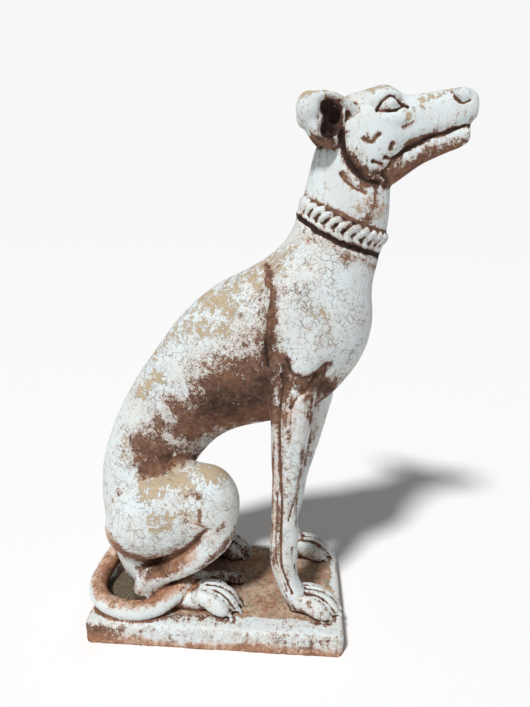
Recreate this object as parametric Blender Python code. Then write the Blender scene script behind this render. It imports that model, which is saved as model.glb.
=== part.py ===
"""A cast iron garden statue of a sitting greyhound with a chain collar, on its plinth.

The dog faces +X, its right side is toward -Y and the underside of the plinth is z = 0.
"""
import math

import bmesh
import bpy
import numpy as np

# Sizes in metres.
STATUE_HEIGHT = 0.752
PLINTH_LENGTH = 0.370
PLINTH_WIDTH = 0.203
PLINTH_THICKNESS = 0.035
PLINTH_CORNER_RADIUS = 0.010
PLINTH_TOP_ROUNDING = 0.007
TAIL_DIAMETER = 0.027
COLLAR_LINK_THICKNESS = 0.0086
COLLAR_LINKS_ROUND = 22

# The pose is drawn on a grid of 752 steps from the underside to the brow,
# the plinth taking the first 35 of them.
GRID_HEIGHT = 752.0
GRID_PLINTH = 35.0
STEP = (STATUE_HEIGHT - PLINTH_THICKNESS) / (GRID_HEIGHT - GRID_PLINTH)

# The dog stands a little to the far side, which leaves room for the tail.
MIDDLE = 12.0

# Paws on the pose grid: heel x and y, length, width, turn in degrees and height in hundredths.
PAWS = ((104, -62, 77, 50, -4, 100), (102, 62, 74, 47, 5, 90),
        (-40, -68, 75, 50, -3, 108), (-38, 54, 76, 48, 6, 90))

# The muzzle comes this share of its length toward the near side.
HEAD_TURN = 0.12

# Grain of the skin, for the smooth masses and for the finished dog.
MASS_VOXEL = 0.0042
SHAPE_VOXEL = 0.0034
TRIANGLES = 8700

# Between these heights the surface is plain and keeps fewer faces.
PLAIN_BOTTOM = 0.080
PLAIN_TOP = 0.545


def curve(rows, per_span):
    """Return rows along a smooth curve through the given rows of numbers."""
    rows = [np.array(row, float) for row in rows]
    padded = [2.0 * rows[0] - rows[1]] + rows + [2.0 * rows[-1] - rows[-2]]
    result = []
    for i in range(1, len(padded) - 2):
        a, b, c, d = padded[i - 1:i + 3]
        for k in range(per_span):
            t = k / per_span
            result.append(0.5 * (2.0 * b + (c - a) * t + (2.0 * a - 5.0 * b + 4.0 * c - d) * t * t
                                 + (3.0 * b - a - 3.0 * c + d) * t ** 3))
    result.append(rows[-1])
    return result


def skin(bm, rings):
    """Join rings of points into one closed body."""
    loops = [[bm.verts.new(point) for point in ring] for ring in rings]
    count = len(loops[0])
    for first, second in zip(loops, loops[1:]):
        for i in range(count):
            j = (i + 1) % count
            bm.faces.new((first[i], first[j], second[j], second[i]))
    bm.faces.new(list(reversed(loops[0])))
    bm.faces.new(loops[-1])


def tube(bm, rows, side=(0.0, 1.0, 0.0), count=18, per_span=4, domed=True):
    """Loft a limb; a row is x, y, z, the radius across `side` and the radius along it."""
    rows = curve(rows, per_span)
    centres = np.array([row[:3] for row in rows])
    tangents = np.gradient(centres, axis=0)
    tangents /= np.linalg.norm(tangents, axis=1)[:, None]
    side = np.array(side, float)
    rings = []

    def ring(centre, tangent, across, along):
        lateral = side - tangent * side.dot(tangent)
        lateral /= np.linalg.norm(lateral)
        fore = np.cross(lateral, tangent)
        angles = [2.0 * math.pi * k / count for k in range(count)]
        return [centre + fore * across * math.cos(a) + lateral * along * math.sin(a) for a in angles]

    if domed:
        for angle in (75.0, 45.0, 20.0):
            size = math.cos(math.radians(angle))
            back = math.sin(math.radians(angle)) * min(rows[0][3], rows[0][4])
            rings.append(ring(centres[0] - tangents[0] * back, tangents[0],
                              rows[0][3] * size, rows[0][4] * size))
    for row, centre, tangent in zip(rows, centres, tangents):
        rings.append(ring(centre, tangent, max(row[3], 0.4), max(row[4], 0.4)))
    if domed:
        for angle in (20.0, 45.0, 75.0):
            size = math.cos(math.radians(angle))
            on = math.sin(math.radians(angle)) * min(rows[-1][3], rows[-1][4])
            rings.append(ring(centres[-1] + tangents[-1] * on, tangents[-1],
                              rows[-1][3] * size, rows[-1][4] * size))
    skin(bm, rings)


def profile(bm, rows, count=28, per_span=4):
    """Loft from side outlines; a row is upper x, z, lower x, z, half width, fullness and roundness.

    Fullness widens the lower side, and roundness is 1 for an ellipse and less for a squarer form.
    """
    rings = []
    for row in curve(rows, per_span):
        upper = np.array([row[0], 0.0, row[1]])
        lower = np.array([row[2], 0.0, row[3]])
        centre = (upper + lower) / 2.0
        half = (upper - lower) / 2.0
        ring = []
        for k in range(count):
            a = 2.0 * math.pi * k / count
            rise = math.copysign(abs(math.cos(a)) ** row[6], math.cos(a))
            aside = math.copysign(abs(math.sin(a)) ** row[6], math.sin(a))
            width = max(row[4], 0.5) * (1.0 - row[5] * rise)
            ring.append(centre + half * rise + np.array([0.0, width * aside, 0.0]))
        rings.append(ring)
    skin(bm, rings)


def blob(bm, centre, radii, turn=0.0, count=20):
    """Add an egg; `turn` tips it in degrees about the y axis, nose up."""
    tip = math.radians(turn)
    rings = []
    for i in range(1, count // 2):
        lat = math.pi * i / (count // 2)
        ring = []
        for k in range(count):
            a = 2.0 * math.pi * k / count
            x = radii[0] * math.sin(lat) * math.cos(a)
            y = -radii[1] * math.cos(lat)
            z = radii[2] * math.sin(lat) * math.sin(a)
            ring.append(np.array(centre) + np.array([x * math.cos(tip) - z * math.sin(tip), y,
                                                     x * math.sin(tip) + z * math.cos(tip)]))
        rings.append(ring)
    skin(bm, rings)


def body_masses(bm):
    """Trunk, neck, haunches and legs as overlapping closed bodies, on the pose grid."""
    trunk = [
        (-142, 44, -96, 40, 44, 0.0, 1.0), (-160, 78, -84, 66, 55, 0.0, 1.0),
        (-173, 125, -74, 120, 60, 0.0, 1.0), (-180, 180, -62, 172, 61, 0.0, 1.0),
        (-177, 235, -54, 212, 58, 0.0, 1.0), (-163, 284, -44, 236, 52, 0.0, 1.0),
        (-144, 328, -25, 262, 48, -0.05, 1.0), (-121, 370, -4, 284, 46, -0.08, 1.0),
        (-94, 409, 22, 299, 50, -0.05, 1.0), (-64, 451, 52, 309, 56, 0.0, 1.0),
        (-35, 482, 82, 316, 60, 0.0, 1.0), (-2, 508, 114, 329, 63, 0.06, 1.0),
        (34, 527, 146, 350, 65, 0.08, 1.0), (63, 545, 172, 381, 65, 0.08, 1.0),
        (82, 564, 195, 420, 60, 0.05, 1.0), (93, 581, 203, 462, 52, 0.0, 1.0),
        (98, 597, 199, 508, 45, 0.0, 1.0), (101, 610, 205, 545, 39, 0.0, 1.0),
        (107, 632, 214, 588, 36, 0.0, 1.0), (112, 656, 212, 626, 35, 0.0, 1.0),
        (119, 688, 211, 655, 35, 0.0, 1.0),
    ]
    profile(bm, trunk, count=36, per_span=4)
    for near in (-1.0, 1.0):
        front = 0.0 if near < 0.0 else 26.0
        if near < 0.0:
            blob(bm, (-76, -50, 183), (101, 46, 63), turn=35)
            blob(bm, (-14, -60, 204), (46, 37, 60))
            knee = [(-4, -66, 200, 30, 27), (0, -68, 164, 26, 24), (-27, -68, 125, 20, 20)]
        else:
            blob(bm, (-94, 50, 142), (82, 44, 58), turn=12)
            blob(bm, (-38, 58, 132), (42, 33, 44))
            knee = [(-20, 62, 140, 30, 26), (-18, 64, 130, 24, 23), (-36, 64, 108, 20, 20)]
        blob(bm, (104 + front * 0.5, near * 46, 462), (44, 27, 76), turn=12)
        tube(bm, knee + [(-57, near * 65, 100, 17.5, 17), (-88, near * 63, 82, 16.5, 15),
                         (-108, near * 62, 62, 17, 15)])
        tube(bm, [(-112, near * 62, 52, 18, 15), (-70, near * 64, 50, 17, 17),
                  (-24, near * 66, 50, 18, 19)])
        leg = [
            (112, 46, 440, 34, 26), (102, 50, 402, 34, 27), (99, 53, 375, 31, 26),
            (100, 56, 340, 28, 24), (98, 58, 300, 24.5, 21), (96.5, 59, 260, 21, 18.5),
            (95, 60, 220, 18.8, 16.5), (94.5, 61, 190, 18.2, 16), (95.5, 62, 160, 19.5, 17.5),
            (96, 63, 135, 20.5, 18.5), (96.5, 64, 115, 19, 18), (101, 65, 93, 17, 16.5),
            (110, 66, 72, 17, 17), (122, 66, 56, 17, 18),
        ]
        drift = (26, 31, 34, 35, 33, 29, 23, 17, 11, 6, 2, 0, -3, -5)
        rows = []
        for (x, y, z, across, along), far in zip(leg, drift):
            x += far if near > 0.0 else 0.0
            rows.append((x, near * y, z, across, along))
        tube(bm, rows)
        blob(bm, (76 + front, near * 50, 384), (13, 12, 22))


def paw(bm, x, y, length, width, turn, high):
    """Add a paw with four toes and claws, its heel at x and y on the plinth."""
    c = math.cos(math.radians(turn))
    s = math.sin(math.radians(turn))

    def spot(fore, across, up):
        return (x + fore * c - across * s, y + fore * s + across * c, GRID_PLINTH + up * high / 100.0)

    half = width / 2.0
    tube(bm, [spot(12, 0, 16) + (15, half * 0.64), spot(length * 0.38, 0, 19) + (19, half * 0.78),
              spot(length * 0.64, 0, 11) + (12, half * 0.80)])
    for i, reach in enumerate((0.84, 1.0, 1.0, 0.84)):
        across = (i - 1.5) / 1.5 * half * 0.74
        tip = length * reach - 6.0
        lift = 1.0 if i in (1, 2) else 0.88
        tube(bm, [
            spot(tip - length * 0.60, across * 0.50, 27 * lift) + (12.0, half * 0.28),
            spot(tip - length * 0.40, across * 0.78, 27 * lift) + (12.5, half * 0.32),
            spot(tip - length * 0.20, across * 0.98, 20 * lift) + (13.0, half * 0.335),
            spot(tip - length * 0.06, across * 1.00, 11) + (10.5, half * 0.31),
        ], count=12, per_span=3)
        tube(bm, [spot(tip - 2, across, 9) + (5.0, 4.4), spot(tip + 5, across, 7) + (3.6, 3.3),
                  spot(tip + 9, across, 3) + (2.4, 2.2)], count=8, per_span=2)


def head(bm):
    """Skull, muzzle, lower jaw, eyes and folded ears, on the pose grid."""
    skull = [
        (124, 710, 134, 678, 24, 0.0, 1.0), (132, 729, 141, 664, 33, 0.0, 1.0),
        (145, 737, 152, 655, 37, 0.02, 0.95), (160, 743, 170, 649, 38, 0.04, 0.9),
        (178, 748, 190, 648, 37, 0.05, 0.86), (195, 752, 206, 654, 34.5, 0.06, 0.84),
        (208, 748, 217, 667, 30.5, 0.07, 0.84), (220, 741, 229, 681, 26, 0.08, 0.82),
        (243, 743, 249, 692, 21.5, 0.10, 0.80), (268, 747, 271, 698.5, 18.5, 0.10, 0.80),
        (286, 749, 287, 705, 17.0, 0.04, 0.80), (297, 746, 298, 710, 14.5, 0.0, 0.84),
        (303, 739, 304, 715, 9.5, 0.0, 0.9),
    ]
    profile(bm, skull, count=32, per_span=4)
    jaw = [
        (178, 700, 182, 638, 25, 0.1, 0.95), (198, 694, 207, 635, 24.5, 0.1, 0.95),
        (221, 692, 227, 648, 20.5, 0.1, 0.92), (243, 698, 247, 663, 16.5, 0.04, 0.9),
        (266, 704, 270, 674.5, 14.5, 0.0, 0.9), (285, 709, 287, 681.5, 13.5, 0.0, 0.9),
        (297, 711, 298, 688, 11.0, 0.0, 0.9),
    ]
    profile(bm, jaw, count=24, per_span=4)
    for near in (-1.0, 1.0):
        # Brow, cheekbone and cheek.
        blob(bm, (190, near * 20, 732), (24, 14, 15), turn=6)
        blob(bm, (188, near * 26.5, 709), (36, 9.5, 12), turn=6)
        blob(bm, (174, near * 26, 680), (34, 14, 34))
        # Eyeball and nose wing.
        blob(bm, (197.5, near * 31, 728.5), (11.5, 6.4, 7.6), turn=10)
        blob(bm, (281, near * 14.5, 740), (11, 4.5, 7.5), turn=-10)
        # Ear: the folded tip, the bowl, its upper rim and the lower flap.
        blob(bm, (106, near * 44, 722), (14.5, 10, 18), turn=-6)
        blob(bm, (129, near * 37.5, 714), (20, 9.5, 22), turn=-24)
        tube(bm, [(110, near * 44, 731, 8, 7), (123, near * 43, 734, 7, 6.5), (137, near * 40, 732, 6.5, 6),
                  (150, near * 36, 727, 6, 6), (159, near * 32, 721, 5, 5)], count=12)
        tube(bm, [(106, near * 43, 714, 8, 7), (114, near * 43, 702, 8, 7), (122, near * 41.5, 692, 8, 6.5),
                  (130, near * 38, 684, 7, 6), (137, near * 35, 684, 5.5, 5)], count=12)


def collar(bm):
    """A braided chain of arched upper and slanting lower links round the tilted neck."""
    thick = COLLAR_LINK_THICKNESS / STEP / 2.0
    centre = np.array([157.0, 0.0, 589.0])
    fore = np.array([55.0, 0.0, -22.0])
    wide = np.array([0.0, 42.0, 0.0])
    up = np.array([21.5, 0.0, 54.0]) / 58.1

    def ring_point(turn, rise, out):
        drop = -3.5 * (1.0 - math.cos(2.0 * turn)) / 2.0
        return centre + (fore * math.cos(turn) + wide * math.sin(turn)) * out + up * (rise + drop)

    for rise in (-5.2, 5.2):
        rows = []
        for k in range(49):
            point = ring_point(2.0 * math.pi * k / 48.0, rise, 0.93)
            rows.append(tuple(point) + (5.2, 5.2))
        tube(bm, rows, side=tuple(up), count=8, per_span=1, domed=False)
    pitch = 2.0 * math.pi / COLLAR_LINKS_ROUND
    arch = ((-0.50, -2.6, 1.00, 0.98), (-0.40, 2.2, 1.035, 1.10), (-0.14, 7.4, 1.06, 1.16),
            (0.20, 9.4, 1.045, 1.05), (0.50, 7.2, 0.99, 0.75))
    slant = ((-0.52, -3.8, 1.0, 0.72), (-0.30, -7.6, 1.04, 0.94), (0.02, -11.8, 1.0, 0.76))
    for k in range(COLLAR_LINKS_ROUND):
        turn = pitch * k
        # The far side is the near side's mirror image.
        way = 1.0 if math.sin(turn) <= 1e-6 else -1.0
        for link in (arch, slant):
            tube(bm, [tuple(ring_point(turn + way * t * pitch, rise, out)) + (thick * r, thick * r)
                      for t, rise, out, r in link], side=tuple(up), count=8, per_span=2)


def tail(bm):
    """The tail, curled round the near corner and over the near hind foot."""
    full = TAIL_DIAMETER / STEP / 2.0
    rows = [
        (-152, 4, 88, 1.1), (-169, 2, 70, 1.05), (-182, -20, 54, 1.0), (-184, -50, 48, 1.0),
        (-169, -78, 47, 1.0), (-144, -93, 47, 1.0), (-114, -97, 47, 1.0), (-86, -90, 49, 1.0),
        (-62, -75, 57, 0.98), (-46, -56, 65, 0.92), (-36, -36, 58, 0.85), (-18, -20, 46, 0.74),
        (6, -12, 43, 0.68), (28, -12, 41, 0.55),
    ]
    tube(bm, [(x, y, z, full * r, full * r) for x, y, z, r in rows], side=(0.0, 0.0, 1.0))


def to_object(bm, name):
    """Scale the grid to metres, set it on the plinth and return it as an object."""
    bmesh.ops.recalc_face_normals(bm, faces=bm.faces)
    for vert in bm.verts:
        x, y, z = vert.co
        vert.co = grid(x, y, max(z, GRID_PLINTH - 16.0))
    mesh = bpy.data.meshes.new(name)
    bm.to_mesh(mesh)
    bm.free()
    obj = bpy.data.objects.new(name, mesh)
    bpy.context.scene.collection.objects.link(obj)
    return obj


def keep_largest(obj):
    """Drop loose scraps and shut-in pockets, so one skin is left."""
    bm = bmesh.new()
    bm.from_mesh(obj.data)
    left = set(bm.verts)
    pieces = []
    while left:
        stack = [left.pop()]
        piece = list(stack)
        while stack:
            for edge in stack.pop().link_edges:
                for vert in edge.verts:
                    if vert in left:
                        left.discard(vert)
                        stack.append(vert)
                        piece.append(vert)
        pieces.append(piece)
    pieces.sort(key=len)
    for piece in pieces[:-1]:
        bmesh.ops.delete(bm, geom=piece, context="VERTS")
    bm.to_mesh(obj.data)
    bm.free()


def apply_modifiers(obj):
    """Replace the object's mesh by its evaluated mesh."""
    bpy.context.view_layer.update()
    result = bpy.data.meshes.new_from_object(obj.evaluated_get(bpy.context.evaluated_depsgraph_get()))
    obj.modifiers.clear()
    obj.data = result


def merge_voxels(obj, size):
    """Melt overlapping bodies into one skin."""
    remesh = obj.modifiers.new("Skin", "REMESH")
    remesh.mode = "VOXEL"
    remesh.voxel_size = size
    remesh.adaptivity = 0.0
    apply_modifiers(obj)


def get_points(mesh):
    points = np.empty(len(mesh.vertices) * 3)
    mesh.vertices.foreach_get("co", points)
    return points.reshape(-1, 3)


def get_normals(mesh):
    normals = np.empty(len(mesh.vertices) * 3)
    mesh.vertices.foreach_get("normal", normals)
    return normals.reshape(-1, 3)


def relax(mesh, rounds, weight):
    """Even out the surface; `weight` is a number or one number a vertex."""
    edges = np.empty(len(mesh.edges) * 2, dtype=np.int64)
    mesh.edges.foreach_get("vertices", edges)
    a, b = edges.reshape(-1, 2).T
    points = get_points(mesh)
    degree = np.bincount(a, minlength=len(points)) + np.bincount(b, minlength=len(points))
    degree = np.maximum(degree, 1)[:, None]
    weight = np.broadcast_to(np.asarray(weight, float).reshape(-1, 1), (len(points), 1))
    for _ in range(rounds):
        total = np.empty_like(points)
        for axis in range(3):
            total[:, axis] = (np.bincount(a, points[b, axis], len(points))
                              + np.bincount(b, points[a, axis], len(points)))
        points = points + weight * (total / degree - points)
    mesh.vertices.foreach_set("co", points.ravel())
    mesh.update()


def swell(mesh, distance):
    """Move the whole surface outward, which makes up for what relaxing took off."""
    points = get_points(mesh) + get_normals(mesh) * np.reshape(distance, (-1, 1))
    mesh.vertices.foreach_set("co", points.ravel())
    mesh.update()


def distance_to_path(points, path):
    """Return the distance of each point from a polyline."""
    best = np.full(len(points), 1e9)
    for a, b in zip(path, path[1:]):
        a = np.array(a)
        span = np.array(b) - a
        t = np.clip((points - a) @ span / max(span @ span, 1e-12), 0.0, 1.0)
        best = np.minimum(best, np.linalg.norm(points - a - t[:, None] * span, axis=1))
    return best


def look(x, z):
    """Return how far the head's turn moves a point aside, toward the near side."""
    return -HEAD_TURN * max(x - 150.0, 0.0) if z > 600.0 else 0.0


def grid(x, y, z):
    """Return a pose grid point in metres."""
    return (x * STEP, (y + look(x, z) + MIDDLE) * STEP, PLINTH_THICKNESS + (z - GRID_PLINTH) * STEP)


def carve(mesh, strokes, sides=(-1.0, 1.0)):
    """Raise or sink the surface along strokes, each a pose grid path, a width and a height."""
    points = get_points(mesh)
    shift = np.zeros(len(points))
    for path, width, height in strokes:
        for near in sides:
            line = [grid(x, near * y, z) for x, y, z in curve(path, 4)]
            far = distance_to_path(points, line) / (width * STEP)
            shift += np.where(far < 3.0, height * STEP * np.exp(-far * far), 0.0)
    swell(mesh, shift)


def score(mesh, strokes, inward=False):
    """Raise or sink the dog's outer sides along strokes drawn in side view.

    A stroke is a path of x and z, the least y, a width and a height. With `inward` the surface
    is pressed toward the mid-plane and the floor of the stroke is flat.
    """
    points = get_points(mesh)
    normals = get_normals(mesh)
    shift = np.zeros(len(points))
    for path, least, width, height in strokes:
        for near in (-1.0, 1.0):
            line = np.array([grid(x, near * least, z) for x, z in curve(path, 4)])
            facing = np.clip(normals[:, 1] * near * 2.5, 0.0, 1.0)
            outer = (points[:, 1] - MIDDLE * STEP) * near > (least - HEAD_TURN * 150.0) * STEP
            far = distance_to_path(points * (1.0, 0.0, 1.0), line * (1.0, 0.0, 1.0)) / (width * STEP)
            near_by = outer & (facing > 0.0) & (far < 3.0)
            if inward:
                points[near_by, 1] += near * height * STEP * np.exp(-far[near_by] ** 4)
            else:
                shift[near_by] += height * STEP * (np.exp(-far * far) * facing)[near_by]
    mesh.vertices.foreach_set("co", (points + normals * shift[:, None]).ravel())
    mesh.update()


def carve_masses(mesh):
    """Swell the muscles and sink the hollows between them."""
    carve(mesh, [
        ([(66, 50, 530), (70, 62, 500), (66, 66, 465), (66, 62, 425)], 7, -4.5),
        ([(124, 66, 440), (138, 62, 430)], 22, 4),
        ([(-62, 60, 250), (-100, 62, 252)], 16, -3),
        ([(-150, 48, 120), (-140, 60, 96), (-120, 66, 80)], 7, -2.5),
    ])
    score(mesh, [
        ([(90, 424), (96, 409), (107, 400), (120, 399), (133, 405), (146, 416)], 30, 7, -6),
        ([(111, 375), (110, 323), (104, 268), (102, 230)], 30, 9, 2.0),
        ([(-10, 184), (-25, 158), (-39, 141), (-54, 130), (-73, 118), (-90, 106)], 50, 5, -4.5),
    ])


def carve_legs(mesh):
    """Cut the sinews of the forelegs and the crease of the thigh."""
    score(mesh, [
        ([(85, 405), (87, 388), (85, 365), (84, 339), (85, 312), (86, 285), (88, 257), (91, 219),
          (91, 179), (92, 150), (93, 127), (98, 108), (105, 90), (110, 78)], 40, 3.2, -2.6),
        ([(129, 404), (124, 394), (118, 386), (106, 377), (99, 364)], 40, 3.6, -2.2),
        ([(-14, 180), (-28, 157), (-41, 140), (-55, 130), (-73, 118), (-89, 107)], 55, 3.0, -1.5),
    ])


def carve_head(mesh):
    """Cut the mouth, eyes, ear bowls and the folds behind the jaw."""
    score(mesh, [([(126, 724), (131, 714), (130, 702)], 36, 8.5, -12)], inward=True)
    carve(mesh, [
        ([(304, 3, 712), (298, 11, 711.5), (287, 15, 705.5), (270, 17, 699), (249, 20, 692.5),
          (238, 22.5, 687), (229, 25.5, 681.5), (219, 29, 674), (209, 32, 669), (199, 34, 669.5)],
         3.2, -4.0),
    ])
    score(mesh, [
        ([(145, 702), (148, 686), (153, 670), (164, 654), (179, 644), (194, 641)], 24, 4.0, -4.8),
        ([(148, 650), (156, 641), (166, 634), (178, 629)], 24, 3.2, -2.2),
        ([(179, 720), (186, 730.5), (194, 737.5), (203, 737), (210, 730), (220, 727)], 22, 2.2, -2.6),
        ([(179, 720), (189, 720), (200, 720), (208, 722), (214, 727)], 22, 2.2, -2.4),
    ])


def carve_paws(mesh):
    """Part the toes."""
    strokes = []
    for x, y, length, width, turn, high in PAWS:
        c = math.cos(math.radians(turn))
        s = math.sin(math.radians(turn))
        for i in (-1, 0, 1):
            line = []
            for fore, up in ((0.34, 38), (0.5, 37), (0.66, 32), (0.8, 23), (0.92, 10)):
                across = i * width * 0.245 * (0.62 + 0.38 * fore)
                line.append((x + fore * length * c - across * s, y + fore * length * s + across * c,
                             GRID_PLINTH + up * high / 100.0))
            strokes.append((line, 2.8, -2.8))
    carve(mesh, strokes, sides=(1.0,))


def material(name, colour, roughness, metallic):
    mat = bpy.data.materials.new(name)
    mat.use_nodes = True
    shader = mat.node_tree.nodes["Principled BSDF"]
    shader.inputs["Base Color"].default_value = colour
    shader.inputs["Roughness"].default_value = roughness
    shader.inputs["Metallic"].default_value = metallic
    return mat


def plinth():
    """The rounded oblong slab the dog sits on."""
    bm = bmesh.new()
    bmesh.ops.create_cube(bm, size=1.0)
    for vert in bm.verts:
        x, y, z = vert.co
        vert.co = (x * PLINTH_LENGTH, y * PLINTH_WIDTH, (z + 0.5) * PLINTH_THICKNESS)
    upright = [e for e in bm.edges if abs(e.verts[0].co.z - e.verts[1].co.z) > PLINTH_THICKNESS / 2.0]
    bmesh.ops.bevel(bm, geom=upright, offset=PLINTH_CORNER_RADIUS, segments=5, profile=0.5,
                    affect="EDGES", material=-1)
    top = [e for e in bm.edges if min(v.co.z for v in e.verts) > PLINTH_THICKNESS * 0.9]
    bmesh.ops.bevel(bm, geom=top, offset=PLINTH_TOP_ROUNDING, segments=3, profile=0.5,
                    affect="EDGES", material=-1)
    bmesh.ops.recalc_face_normals(bm, faces=bm.faces)
    mesh = bpy.data.meshes.new("Plinth")
    bm.to_mesh(mesh)
    bm.free()
    obj = bpy.data.objects.new("Plinth", mesh)
    bpy.context.scene.collection.objects.link(obj)
    return obj


def dog():
    """Model the dog as one skin."""
    bm = bmesh.new()
    body_masses(bm)
    mass = to_object(bm, "Masses")
    merge_voxels(mass, MASS_VOXEL)
    rise = (get_points(mass.data)[:, 2] - PLINTH_THICKNESS) / STEP
    legs = np.clip((rise - 25.0) / 100.0, 0.15, 1.0)
    relax(mass.data, 16, 0.5 * legs)
    swell(mass.data, 1.6 * STEP * legs)
    carve_masses(mass.data)
    relax(mass.data, 2, 0.4)
    bm = bmesh.new()
    head(bm)
    collar(bm)
    tail(bm)
    for place in PAWS:
        paw(bm, *place)
    detail = to_object(bm, "Details")
    joined = bmesh.new()
    joined.from_mesh(mass.data)
    joined.from_mesh(detail.data)
    joined.to_mesh(mass.data)
    joined.free()
    bpy.data.objects.remove(detail)
    merge_voxels(mass, SHAPE_VOXEL)
    keep_largest(mass)
    relax(mass.data, 2, 0.45)
    carve_legs(mass.data)
    carve_head(mass.data)
    carve_paws(mass.data)
    return mass


def build():
    for obj in list(bpy.data.objects):
        bpy.data.objects.remove(obj)
    statue = dog()
    thin = statue.modifiers.new("Fewer faces", "DECIMATE")
    thin.ratio = TRIANGLES / (len(statue.data.polygons) * 2.0)
    thin.use_collapse_triangulate = True
    plain = statue.vertex_groups.new(name="plain")
    for index, height in enumerate(get_points(statue.data)[:, 2]):
        plain.add([index], 1.0 if PLAIN_BOTTOM < height < PLAIN_TOP else 0.98, "REPLACE")
    thin.vertex_group = "plain"
    thin.vertex_group_factor = 0.004
    apply_modifiers(statue)
    base = plinth()
    union = base.modifiers.new("One casting", "BOOLEAN")
    union.operation = "UNION"
    union.solver = "EXACT"
    union.object = statue
    apply_modifiers(base)
    bpy.data.objects.remove(statue)
    base.name = "statue"
    base.data.name = "statue"
    base.data.materials.clear()
    base.data.materials.append(material("painted cast iron", (0.62, 0.66, 0.66, 1.0), 0.8, 0.0))
    base.data.shade_smooth()
    base.data.set_sharp_from_angle(angle=math.radians(42.0))


build()
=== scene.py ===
"""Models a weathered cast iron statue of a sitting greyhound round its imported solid."""
import math

import bmesh
import bpy
import numpy as np
from mathutils import Matrix, Vector, kdtree, noise
from mathutils.bvhtree import BVHTree


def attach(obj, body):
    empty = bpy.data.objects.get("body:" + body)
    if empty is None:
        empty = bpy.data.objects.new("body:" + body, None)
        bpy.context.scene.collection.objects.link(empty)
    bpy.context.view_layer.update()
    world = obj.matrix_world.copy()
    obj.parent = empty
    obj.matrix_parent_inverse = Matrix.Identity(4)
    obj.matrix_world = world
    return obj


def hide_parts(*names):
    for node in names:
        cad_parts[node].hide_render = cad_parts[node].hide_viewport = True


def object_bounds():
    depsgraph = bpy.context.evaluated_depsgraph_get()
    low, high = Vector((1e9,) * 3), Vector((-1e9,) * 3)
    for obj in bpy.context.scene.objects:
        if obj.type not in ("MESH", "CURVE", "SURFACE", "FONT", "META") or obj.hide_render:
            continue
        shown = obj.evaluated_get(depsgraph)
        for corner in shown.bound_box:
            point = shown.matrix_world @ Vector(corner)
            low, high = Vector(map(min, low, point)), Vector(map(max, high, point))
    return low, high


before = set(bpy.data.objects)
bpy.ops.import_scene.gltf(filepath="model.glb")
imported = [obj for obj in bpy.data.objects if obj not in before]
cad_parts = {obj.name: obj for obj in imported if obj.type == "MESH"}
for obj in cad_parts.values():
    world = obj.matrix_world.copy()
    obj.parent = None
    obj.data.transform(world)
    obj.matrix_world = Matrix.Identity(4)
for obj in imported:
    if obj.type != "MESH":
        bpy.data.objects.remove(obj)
CAD_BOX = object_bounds()

bl_info = {
    "name": "Cast iron greyhound",
    "version": (1, 0, 0),
    "blender": (4, 5, 0),
    "location": "3D View > Sidebar > Greyhound",
    "description": "Models a painted and rusted cast iron garden statue of a sitting greyhound",
    "category": "Add Mesh",
}

# The pose is drawn on a grid of 752 steps from the underside to the brow,
# the plinth taking the first 35 of them.
GRID_HEIGHT = 752.0
GRID_PLINTH = 35.0

# Paws on the pose grid: heel x and y, length, width, turn in degrees and height.
PAWS = ((104, -62, 77, 50, -4, 1.0), (102, 62, 74, 47, 5, 0.9),
        (-40, -68, 75, 50, -3, 1.08), (-38, 54, 76, 48, 6, 0.9))

# The tail: x, y and z on the pose grid and the share of its full thickness.
TAIL = (
    (-152, 4, 88, 1.1), (-169, 2, 70, 1.05), (-182, -20, 54, 1.0), (-184, -50, 48, 1.0),
    (-169, -78, 47, 1.0), (-144, -93, 47, 1.0), (-114, -97, 47, 1.0), (-86, -90, 49, 1.0),
    (-62, -75, 57, 0.98), (-46, -56, 65, 0.92), (-36, -36, 58, 0.85), (-18, -20, 46, 0.74),
    (6, -12, 43, 0.68), (28, -12, 41, 0.55),
)

# The collar on the pose grid: its centre, its half length, its half width and the way up along the neck.
COLLAR_CENTRE = (156.0, 0.0, 589.0)
COLLAR_FORE = np.array([52.0, 0.0, -21.0])
COLLAR_REACH = 56.1
COLLAR_WIDTH = 41.0
COLLAR_UP = np.array([21.5, 0.0, 54.0]) / 58.1

# Where the camera stands, in metres, and the way that the key light shines.
CAMERA_PLACE = (0.0976, -0.7318, 0.6434)
KEY_WAY = (0.42, 0.80, -1.35)

STATUE = "statue_casting"


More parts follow.
